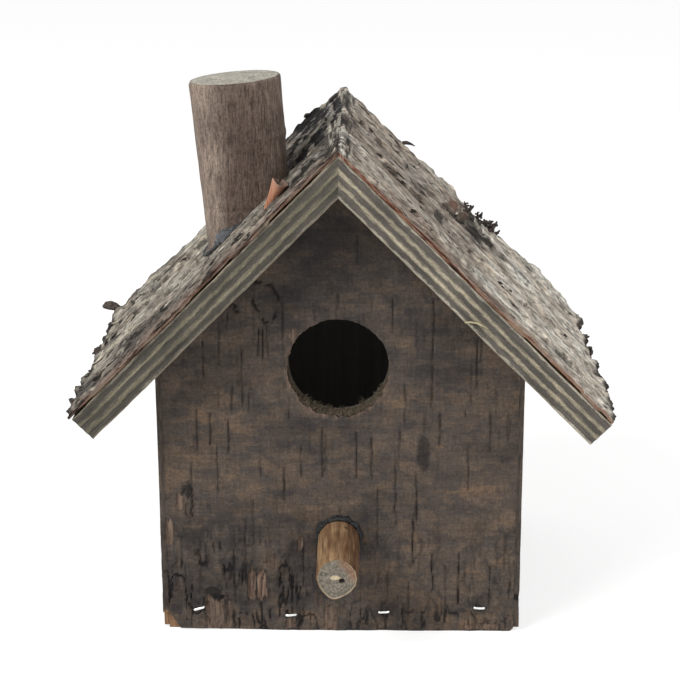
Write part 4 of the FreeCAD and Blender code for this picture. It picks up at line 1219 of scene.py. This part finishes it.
def branch_marks(bark, cap_share, end):
    """Marks of a branch from those of its bark and of its sawn end; a mark that one of them lacks is 0."""
    end = {"end": np.ones_like(cap_share), "ring": cap_share, **end}
    no_bark, no_end = np.zeros_like(bark["lines"]), np.zeros_like(cap_share)
    return {
        mark: np.concatenate([bark.get(mark, no_bark), end.get(mark, no_end)]) for mark in BRANCH_MARKS
    }


def placed(origin, *steps):
    """Points that lie at steps from an origin: each step is a grid of lengths and their direction."""
    return origin + sum(lengths[..., None] * np.array(direction) for lengths, direction in steps)


def chimney_bark(share, turn, tall):
    """Radius and marks of the chimney's bark: fine ridges, a bulge, a groove, a knot, small pits and
    painted light on its left.
    """
    wrap = np.minimum(turn, TURN - turn) * CHIMNEY_RADIUS
    ridges = cloud(wrap / 0.9, tall / 9, 1000, 3)
    knot = np.hypot((turn - KNOT_TURN) * CHIMNEY_RADIUS, (tall - KNOT_HEIGHT) / KNOT_REACH)
    radius = CHIMNEY_RADIUS + smooth(tall, 0, CHIMNEY_LENGTH) * (CHIMNEY_TOP_RADIUS - CHIMNEY_RADIUS)
    radius += swell(0.5, wrap / 14, tall / 12, 1010) + 0.3 * (ridges - 0.5)
    radius += 0.35 * bell(tall, BULGE_HEIGHT, 1.6) * smooth(np.cos(turn), 0.2, 0.9)
    radius -= 0.3 * bell(tall, GROOVE_HEIGHT, 0.8) * smooth(np.cos(turn - GROOVE_TURN), 0.3, 0.8)
    radius += 0.3 * bell(knot, 1.2, 6 ** -0.5) - 0.5 * bell(knot, 0, 1)
    radius -= 0.5 * smooth(share, 0.985, 1.0)
    # Painted light: the mark lines is raised on the chimney's left, as if the lamp lit that side.
    painted_light = smooth(np.cos(turn - PAINTED_LIGHT_TURN), 0.40, 0.85)
    turned_right = smooth(np.cos(turn), 0.1, 0.8)
    marks = {
        "lines": 0.2 * (ridges - 0.5) + 0.26 * painted_light + 0.16 * turned_right - 0.08,
        "slit": np.maximum(0.55 * bell(knot, 0, 1), covered(wrap, tall, CHIMNEY_PITS, 1040)),
    }
    return radius, marks


def chimney(paint):
    """Branch cut to the slope below and square above, with fine bark, a knot and a sawn top."""
    up = np.array([-math.sin(CHIMNEY_LEAN), 0, math.cos(CHIMNEY_LEAN)])
    out = np.array([math.cos(CHIMNEY_LEAN), 0, math.sin(CHIMNEY_LEAN)])
    back = np.array([0.0, 1.0, 0.0])
    slope = np.array([-C45, 0, C45])
    share, turn, cap_share, cap_turn = branch_plan(*CHIMNEY_GRID)
    start = (-CHIMNEY_SUNK - CHIMNEY_RADIUS * np.cos(turn) * (out @ slope)) / (up @ slope)
    tall = start + share * (CHIMNEY_LENGTH - start)
    radius, bark = chimney_bark(share, turn, tall)
    sides = placed(CHIMNEY_FOOT, (tall, up), (radius * np.cos(turn), out), (radius * np.sin(turn), back))
    cap_x, cap_y = cap_share * radius[-1] * (np.cos(cap_turn), np.sin(cap_turn))
    saw = swell(0.25, cap_x / 2, cap_y / 5, 1020) + swell(0.15, cap_x / 0.8, cap_y / 4, 1021, 1)
    cap_tall = CHIMNEY_LENGTH + saw * smooth(1 - cap_share, 0.0, 0.15)
    cap = placed(CHIMNEY_FOOT, (cap_tall, up), (cap_x, out), (cap_y, back))
    check = crack(cap_x / 9, cap_y / 9, 1030, width=0.012) * smooth(cap_share, 1.0, 0.8)
    marks = branch_marks(bark, cap_share, {"slit": 0.5 * check})
    add_skin("chimney_log", np.concatenate([sides, cap]), marks, paint, "branch", "chimney")


def perch_bark(share, turn, y):
    """Radius and marks of the perch's side: fine ridges, the stub of a twig, a dark pit and painted light
    on its upper left.
    """
    wrap = np.minimum(turn, TURN - turn) * PERCH_RADIUS
    ridges = cloud(wrap / 0.8, y / 11, 1100, 3)
    stub = bell(turn, STUB_TURN, STUB_WIDTH) * bell(y, PERCH_TIP, STUB_LENGTH)
    radius = PERCH_RADIUS + share * (PERCH_TIP_RADIUS - PERCH_RADIUS)
    radius += swell(0.3, wrap / 6, y / 10, 1110) + 0.16 * (ridges - 0.5)
    radius += 0.95 * stub * (share > 0.5)
    radius -= 0.35 * smooth(share, 0.975, 1.0)
    # Painted light: the cosine term in lines makes the bark paler towards the upper left, as if lit from
    # there.
    marks = {
        "lines": 0.7 * (ridges - 0.5) + 0.12 * np.cos(turn - 2.4),
        "slit": 0.7 * spot(wrap, y, (1.2 * PERCH_RADIUS, -55), (0.8, 1.0), 1123, 0.8),
    }
    return radius, marks


def perch_end(share, turn, x, z):
    """Depth and marks of the perch's sawn end: a hole, the pith, a pale rim, cracks and a russet part."""
    hole = spot(x, z, *END_HOLE, 1120, 0.6)
    pith = spot(x, z, *END_PITH, 1121, 0.7) * (1 - hole)
    saw = swell(0.35, x / 1.2, z / 1.2, 1122) * smooth(1 - share, 0.0, 0.12)
    check = crack(x / 4, z / 4, 1124, width=0.02) * (1 - pith)
    turned = smooth(np.cos(turn - RUSSET_TURN), 0.45, 0.95)
    marks = {
        "pale": np.maximum(0.9 * pith, 0.8 * smooth(share, 0.93, 0.985)),
        "slit": np.maximum(0.95 * hole, 0.6 * check),
        "russet": 0.5 * turned * smooth(share, 0.45, 0.8),
    }
    return 0.3 - saw + 0.9 * hole, marks


def perch(paint):
    """Stripped branch peg with a stub of a side twig under its sawn, weathered tip."""
    share, turn, cap_share, cap_turn = branch_plan(*PERCH_GRID)
    y = PERCH_BACK + share * (PERCH_TIP - PERCH_BACK)
    radius, bark = perch_bark(share, turn, y)
    sides = np.stack([CENTRE + radius * np.cos(turn), y, PERCH_HOLE[1] + radius * np.sin(turn)], -1)
    cap_x, cap_z = cap_share * radius[-1] * (np.cos(cap_turn), np.sin(cap_turn))
    depth, end = perch_end(cap_share, cap_turn, cap_x, cap_z)
    cap = np.stack([CENTRE + cap_x, PERCH_TIP + depth, PERCH_HOLE[1] + cap_z], -1)
    rings = np.concatenate([sides, cap])[:, ::-1]
    marks = {mark: grid[:, ::-1] for mark, grid in branch_marks(bark, cap_share, end).items()}
    add_skin("perch_peg", rings, marks, paint, "peg", "perch")


# Glue, staples and small growths

def perch_bead(paint):
    """Dark glue squeezed out round the perch's foot, fuller over it than under it."""
    turn = turns(120)
    lumps = cloud(turn * 5, 0, 1200, 4)
    bead = (0.35 + 0.6 * smooth(np.sin(turn), -0.3, 0.7)) * (0.5 + lumps)
    reach = PERCH_RADIUS + 0.6 * bead
    x, z = CENTRE + reach * np.cos(turn), PERCH_HOLE[1] + reach * np.sin(turn)
    path = np.stack([x, np.full_like(turn, BARK_FRONT - 0.1), z], -1)
    rings = tube_rings(path, bead, sides=14, loop=True, flat=0.9, first=(0, -1, 0))
    marks = {"blob": np.zeros(rings.shape[:2])}
    add_skin("perch_glue_bead", rings, marks, paint, "glue", "perch_glue", loop=True)


# The blob at the front of the chimney's bead: its turn and its width, in radians.
BLOB_TURN, BLOB_WIDTH = math.radians(249), 0.22


def chimney_bead(paint):
    """Glue round the chimney's foot, painted near black as the shadow along its foot, with a grey blob at
    its front.
    """
    sides = 12
    turn = turns(160)
    lumps = cloud(turn * 4, 0, 1210, 4)
    blob = bell(turn, BLOB_TURN, BLOB_WIDTH)
    bead = 0.3 + 0.5 * lumps + 1.6 * blob * (0.1 + lumps)
    reach = CHIMNEY_RADIUS + 0.3 * bead
    stretch = 1 / math.cos(SLOPE - CHIMNEY_LEAN)
    s = abs(CHIMNEY_FOOT[0]) / C45 - reach * stretch * np.cos(turn)
    y = CHIMNEY_FOOT[1] + reach * np.sin(turn)
    path = on_slope(LEFT, s, y, ROOF_BARK + 0.2 + 1.1 * blob)
    rings = tube_rings(path, bead, sides, loop=True, first=(-C45, 0, C45))
    along, around = np.meshgrid(turn, np.arange(sides), indexing="ij")
    uneven = 0.3 + 1.4 * cloud(along * 20, np.abs(around - sides // 2) / 1.2, 1211, 4, 0.65)
    rings = path[:, None] + uneven[..., None] * (rings - path[:, None])
    # The blob is painted paler where its surface stands out: a painted highlight.
    marks = {"blob": blob[:, None] * (2 * uneven - 1.2)}
    add_skin("chimney_glue_bead", rings, marks, paint, "glue", "chimney_glue", loop=True)


# Staples along the foot of the front: x, height and tilt in degrees.
STAPLES = ((-46.4, 7.9, 17), (-16.25, 5.7, 6), (14.1, 6.9, 3), (45.3, 8.5, -2))
STAPLE_CROWN, STAPLE_LEG, STAPLE_BEND, STAPLE_RADIUS = 3.6, 14.0, 0.6, 0.28
# How far their crowns lie in front of the bark.
STAPLE_PROUD = 0.45


def staples(paint):
    """Flat wire staples pressed into the bark, each at its own tilt."""
    half, bend = STAPLE_CROWN / 2, STAPLE_BEND
    crown_y = BARK_FRONT - STAPLE_PROUD
    line = [(-half, STAPLE_LEG), (-half, 4.0), (-half, bend)]
    line += [(-half + bend * (1 - math.cos(a)), bend * (1 - math.sin(a))) for a in (0.5, 1.05)]
    line += [(-half + bend, 0.0), (-half / 3, -0.05)]
    line += [(-u, v) for u, v in reversed(line)]
    many = []
    for x, z, tilt in STAPLES:
        cos, sin = math.cos(math.radians(tilt)), math.sin(math.radians(tilt))
        path = [(x + u * cos, crown_y + v, z + u * sin) for u, v in line]
        many.append(tube_rings(path, STAPLE_RADIUS, sides=12, flat=1.5, first=(-sin, 0, cos)))
    add_tubes("front_staple_wires", many, paint, "steel", "front_staples")


# Clumps of lichen on the right bark: place down the slope and in y, number of stems and spread.
LICHEN_CLUMPS = ((60, 38, 3, 1.4), (65, 43, 4, 1.4), (70, 46, 5, 1.2), (74, 46.5, 5, 1.0))
STEM_LENGTH, STEM_RADIUS, STEM_STEPS = 4.4, 0.62, 6
# How a stem and its twigs taper, step by step.
STEM_TAPER = np.array([1.1, 1.0, 0.9, 0.9, 0.8, 0.7, 0.4])
TWIG_TAPER = np.array([0.9, 0.8, 1.0, 0.5])


def lichen_clumps(paint):
    """Lichen: clumps of short bent stems that start in the bark, with side twigs."""
    draw = np.random.default_rng(21)
    many = []
    for s, y, count, spread in LICHEN_CLUMPS:
        for _ in range(count):
            foot_s = s + draw.normal(0, spread)
            foot_y = min(y + draw.normal(0, spread), ROOF_BACK)
            heading = np.array([RIGHT, 0, 0.25]) + draw.normal(0, 0.5, 3)
            stride = STEM_LENGTH / STEM_STEPS * draw.uniform(0.6, 1.2)
            points = [on_bark(RIGHT, foot_s, foot_y, -0.5)]
            for _ in range(STEM_STEPS):
                heading = unit(heading) + draw.normal(0, 0.4, 3)
                points.append(points[-1] + unit(heading) * stride)
            radii = STEM_RADIUS * draw.uniform(0.7, 1.2) * STEM_TAPER
            many.append(tube_rings(points, radii, sides=8))
            for start in draw.integers(2, STEM_STEPS, 3):
                off = unit(draw.normal(0, 1, 3)) * stride
                twig = [points[start] + off * reach for reach in (0, 0.7, 1.3, 1.6)]
                many.append(tube_rings(twig, radii[start] * TWIG_TAPER, sides=8))
    add_tubes("right_lichen", many, paint, "roof_bark")


# Outline of a plate, cut through its middle: share of its reach and level, as a share of its thickness.
PLATE_PROFILE = ((0.1, -0.5), (0.55, -0.5), (0.9, -0.3), (1.0, 0.0), (0.9, 0.3), (0.55, 0.5), (0.1, 0.5))


def plate_rings(middle, across, along, reach, thick, seed):
    """Rings of a bent plate with a ragged outline, from the middle of its underside to that of its top."""
    across = unit(across)
    out = unit(np.cross(across, along))
    along = np.cross(out, across)
    angle = turns(28)
    u, v = np.cos(angle), np.sin(angle)
    outline = 0.5 + cloud(1.4 * u + 5, 1.4 * v + 5, seed, 3)
    rings = []
    for share, level in PLATE_PROFILE:
        a, b = share * outline * u * reach[0], share * outline * v * reach[1]
        up = level * thick + 0.25 * a * a / reach[0]
        rings.append(placed(middle, (a, across), (b, along), (up, out)))
    return np.array(rings)


# Torn flakes of the roof bark: place down the slope and in y, how many and their size.
FLAKES = {
    LEFT: ((117, 33, 3, 1.6), (117, 1, 4, 1.8), (117, -24, 3, 1.4), (116.5, -52, 2, 1.4), (14, 45, 3, 1.8)),
    RIGHT: ((118, 36, 3, 1.3), (118.5, 22, 3, 1.4), (118.5, 6, 3, 1.3)),
}
FLAKE_THICKNESS = 0.9


def flakes(side, seed, paint):
    """Torn bits of bark that stick out along the roof's edges."""
    draw = np.random.default_rng(seed)
    many = []
    for s, y, count, size in FLAKES[side]:
        for _ in range(count):
            place_s = s + draw.normal(0, 0.25 * size)
            place_y = y + draw.normal(0, 0.4 * size)
            across = np.array([side, 0.0, 0.3]) + draw.normal(0, 0.5, 3)
            along = np.array([0.0, 1.0, 0.0]) + draw.normal(0, 0.4, 3)
            reach = size * draw.uniform(0.7, 1.2, 2)
            place = on_bark(side, place_s, place_y, 0.1 * size)
            ragged = int(draw.integers(1000))
            many.append(plate_rings(place, across, along, reach, FLAKE_THICKNESS, ragged))
    add_tubes(SIDE_NAME[side] + "_eave_flakes", many, paint, "roof_bark")


def bark_curl(paint):
    """A rolled strip of orange inner bark that lifts off beside the chimney and flares at its top."""
    low = on_bark(LEFT, 29.7, -50.0, -0.3)
    rise = np.array([4.4, -1.5, 8.8])
    thickness = 0.25
    share, roll = np.meshgrid(np.linspace(0, 1, 36), np.linspace(-3.0, 3.0, 60), indexing="ij")
    radius = 0.6 + share + 0.8 * share ** 3 + swell(0.15, share * 4, roll * 2, 1300, 1)
    along = unit(rise)
    across = unit(np.cross((0, 1, 0), along))
    out = np.cross(across, along)
    lip = swell(1.2, roll * 0.9 + 7, 0, 1301, 1) * share ** 3
    away = placed(0.0, (np.sin(roll), across), (np.cos(roll), out))
    inside = placed(low, (share, rise), (lip, along)) + radius[..., None] * away
    rings = np.concatenate([inside + thickness * away, inside[:, ::-1]], 1)
    under = np.concatenate([np.zeros_like(share), np.ones_like(share)], 1)
    add_skin("bark_curl", rings, {"tip": np.tile(share ** 3, 2), "under": under}, paint, "roof_bark")


def splinter(name, start, paint, steps, radii, flat=1.0):
    """A bent splinter: a tapered tube, as flat as asked, from its start through the given steps."""
    path = [start] + [start + np.array(step) for step in steps]
    add_tubes(name, [tube_rings(path, np.array(radii), sides=12, flat=flat)], paint, "roof_bark")


# Torn fibres at the lower rim of the entrance: their number, and how each tapers.
FIBRE_COUNT = 900
FIBRE_RADII = np.array([0.12, 0.11, 0.09, 0.05])
# In degrees: the turns of the tufts and their spread, and the middle and spread of the other fibres' turns.
TUFT_TURNS, TUFT_SPREAD, FIBRE_SPREAD = (228, 236, 257, 277, 298, 326), 4, (268, 36)
# Least and greatest length in a tuft and elsewhere.
TUFT_LENGTHS, FIBRE_LENGTHS = (0.5, 1.2), (0.2, 0.6)


def entrance_fibres(paint):
    """Torn fibres of wood that stand up from the lower rim of the entrance, a third of them in tufts."""
    draw = np.random.default_rng(31)
    middle_x, middle_z, radius = ENTRANCE
    many = []
    for number in range(FIBRE_COUNT):
        in_tuft = number % 3 == 0
        middle, spread = (draw.choice(TUFT_TURNS), TUFT_SPREAD) if in_tuft else FIBRE_SPREAD
        turn = math.radians(draw.normal(middle, spread))
        depth = draw.uniform(BARK_FRONT + 0.3, WALL_FRONT + 5.8)
        inward = np.array([-math.cos(turn), 0.0, -math.sin(turn)])
        foot = np.array([middle_x, depth, middle_z]) - (radius + 0.2) * inward
        heading = inward + draw.normal(0, 0.6, 3)
        bend = draw.normal(0, 0.3, 3)
        length = draw.uniform(*(TUFT_LENGTHS if in_tuft else FIBRE_LENGTHS))
        path = [foot + length * (share * heading + share ** 2 * bend) for share in (0.0, 0.35, 0.7, 1.0)]
        many.append(tube_rings(path, FIBRE_RADII, sides=5, first=(0.3, 0.2, 1.0)))
    add_tubes("entrance_fibres", many, paint, "wall_plywood")


# Light, floor and camera

WHITE = (1.0, 1.0, 1.0, 1.0)
# The point in the house that both lamps shine at, in metres.
LAMP_TARGET = (0, 0, 0.09)


def show_by_view(tree, unseen, seen, output):
    """Shows one shader to the camera, also in mirrors and through glass, and the other to all else."""
    path = add_node(tree, "LightPath").outputs
    share = path["Is Camera Ray"]
    for name in ("Is Glossy Ray", "Is Transmission Ray"):
        share = add_node(tree, "Math", {0: share, 1: path[name]}, operation="MAXIMUM").outputs[0]
    mix = add_node(tree, "MixShader", {0: share, 1: unseen.outputs[0], 2: seen.outputs[0]})
    feed(tree, tree.nodes[output].inputs["Surface"], mix.outputs[0])


def world_light():
    """White for what the camera, metal and glass see; a softer grey for the light on the object."""
    world = bpy.data.worlds.new("studio")
    bpy.context.scene.world = world
    world.use_nodes = True
    tree = world.node_tree
    tree.nodes.remove(tree.nodes["Background"])
    soft = add_node(tree, "Background", {"Color": WHITE, "Strength": 0.5})
    white = add_node(tree, "Background", {"Color": WHITE, "Strength": 1.0})
    show_by_view(tree, soft, white, "World Output")


def add_floor():
    """Pale floor that looks white where no shadow falls."""
    size = 4.0
    corners = [(-size, -size, 0), (size, -size, 0), (size, size, 0), (-size, size, 0)]
    mesh = bpy.data.meshes.new("floor")
    mesh.from_pydata(corners, [], [(0, 1, 2, 3)])
    floor = bpy.data.objects.new("studio_floor", mesh)
    bpy.context.scene.collection.objects.link(floor)
    material = bpy.data.materials.new("studio_floor")
    material.use_nodes = True
    tree = material.node_tree
    tree.nodes.remove(tree.nodes["Principled BSDF"])
    plain = add_node(tree, "BsdfDiffuse", {"Color": (0.8, 0.8, 0.8, 1.0)})
    shadowed = add_node(tree, "BsdfDiffuse", {"Color": (0.45, 0.45, 0.45, 1.0)})
    glow = add_node(tree, "Emission", {"Color": WHITE, "Strength": 0.72})
    bright = add_node(tree, "AddShader", {0: shadowed.outputs[0], 1: glow.outputs[0]})
    show_by_view(tree, plain, bright, "Material Output")
    mesh.materials.append(material)


def add_lamp(name, place, target, size, watts):
    lamp = bpy.data.lights.new(name, "AREA")
    lamp.shape = "DISK"
    lamp.size = size
    lamp.energy = watts
    holder = bpy.data.objects.new(name, lamp)
    holder.location = place
    holder.rotation_euler = (Vector(target) - Vector(place)).to_track_quat("-Z", "Y").to_euler()
    bpy.context.scene.collection.objects.link(holder)


# The camera was fitted to the photograph's corners: place in mm, turns in degrees, and focal length in mm.
EYE = (9.873, -577.656, 261.019)
YAW, PITCH, ROLL = -1.061, 16.978, -0.201
LENS, SENSOR = 93.545, 36.0


def add_camera():
    """Camera that looks along +y, turned by its yaw, down by its pitch and round its view by its roll."""
    lens = bpy.data.cameras.new("camera")
    lens.lens = LENS
    lens.sensor_width = SENSOR
    camera = bpy.data.objects.new("camera", lens)
    place = Matrix.Translation(Vector(EYE) * MM)
    for turn, axis in ((-YAW, "Z"), (90 - PITCH, "X"), (ROLL, "Z")):
        place = place @ Matrix.Rotation(math.radians(turn), 4, axis)
    camera.matrix_world = place
    bpy.context.scene.collection.objects.link(camera)
    bpy.context.scene.camera = camera


def repaint(material, *nodes):
    """Gives solids that keep their own shape a better material."""
    for name in nodes:
        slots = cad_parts[name].data.materials
        slots.clear()
        slots.append(material)


# Build

front_bark(wall_bark_paint(
    "front_wall_bark", line_size=(9, 0.5, 0.42), inner_tones=((58, 50, 45), (96, 80, 66))))
side_paint = wall_bark_paint(
    "side_wall_bark", line_size=(0.5, 9, 0.42), inner_tones=((54, 50, 47), (86, 76, 68)))
for side in (LEFT, RIGHT):
    side_bark(side, side_paint)
for side in (LEFT, RIGHT):
    roof_bark(side, roof_bark_paint(side))
for side in (LEFT, RIGHT):
    roof_panel(side, roof_ply_paint(side))
chimney(branch_paint(
    "chimney_branch",
    tones=((74, 61, 55), (96, 82, 73), (117, 102, 92), (153, 136, 122)), levels=(0.2, 0.45, 0.6, 0.8),
    end_tones=((174, 169, 156), (188, 183, 170)),
    fissure_size=(0.5, 0.5, 4.5), fissure_dark=0.6, grit_range=(0.62, 1.36)))
perch(branch_paint(
    "perch_branch",
    tones=((76, 52, 38), (106, 77, 55), (124, 95, 69), (158, 129, 96)), levels=(0.2, 0.42, 0.56, 0.8),
    end_tones=((124, 116, 104), (133, 125, 112)),
    fissure_size=(0.6, 9, 0.6), fissure_dark=0.7, grit_range=(0.84, 1.14)))
perch_bead(glue_paint("dark_glue", ((14, 14, 15), (40, 42, 47)), roughness=0.35, specular=0.5))
chimney_bead(glue_paint("grey_glue", ((26, 26, 27), (98, 100, 104)), roughness=0.45, specular=0.4))
entrance_fibres(dry_paint("torn_fibres", (68, 61, 51), (128, 117, 99)))
steel = steel_paint()
staples(steel)
lichen = dry_paint("dry_lichen", (44, 39, 39), (104, 94, 90))
lichen_clumps(lichen)
torn = dry_paint("torn_bark", (52, 46, 44), (116, 105, 97))
flakes(LEFT, seed=22, paint=torn)
flakes(RIGHT, seed=23, paint=torn)
splinter(
    "left_eave_flap", on_bark(LEFT, s=114.0, y=46.0, lift=-0.5), torn, flat=1.9,
    steps=((-1.4, 0.0, 0.5), (-3.2, 0.2, 0.9), (-4.8, 0.3, 0.8), (-6.2, 0.3, 0.3)),
    radii=(0.5, 0.8, 0.95, 0.8, 0.3))
bark_curl(curl_paint())
splinter(
    "panel_splinter", on_slope(RIGHT, np.array(62.9), np.array(ROOF_FRONT - 0.1), np.array(-9.0)),
    dry_paint("pale_wood", (160, 148, 112), (206, 196, 160)),
    steps=((1.6, -0.3, 0.2), (3.6, -0.4, -0.1), (5.2, -0.4, -0.9), (6.8, -0.3, -1.8)),
    radii=(0.3, 0.28, 0.25, 0.2, 0.1))
splinter(
    "ridge_twig", on_bark(RIGHT, s=27.0, y=47.0), lichen,
    steps=((1.5, 0.2, 0.1), (3.0, 0.4, -0.4), (4.6, 0.4, -1.2)), radii=(0.7, 0.7, 0.45, 0.12))

repaint(
    steel, "back_staples", "left_staples", "right_staples", "front_brads", "back_brads",
    "left_roof_brads", "right_roof_brads", "ridge_brads")
# The front wall's plywood is the darker copy, painted in shade.
repaint(wall_ply_paint("front_plywood_in_painted_shade", "y", (-GREY_DEPTH, BEYOND), *PLY_IN_PAINTED_SHADE, bare_below=14), "front_wall")
repaint(wall_ply_paint("back_plywood", "y", (-BEYOND, GREY_DEPTH), *TAN_PLY), "back_wall")
repaint(wall_ply_paint("side_plywood", "x", (-GREY_WIDTH, GREY_WIDTH), *TAN_PLY), "left_wall", "right_wall")
repaint(wall_ply_paint("floor_plywood", "z", (GREY_HEIGHT, BEYOND), *TAN_PLY), "floor")
world_light()
add_floor()
add_lamp("key", (-0.95, -0.9, 1.1), LAMP_TARGET, size=0.8, watts=17.0)
add_lamp("fill", (0.85, -0.95, 0.9), LAMP_TARGET, size=0.9, watts=5.0)
add_camera()
bpy.context.scene.view_settings.view_transform = "Standard"
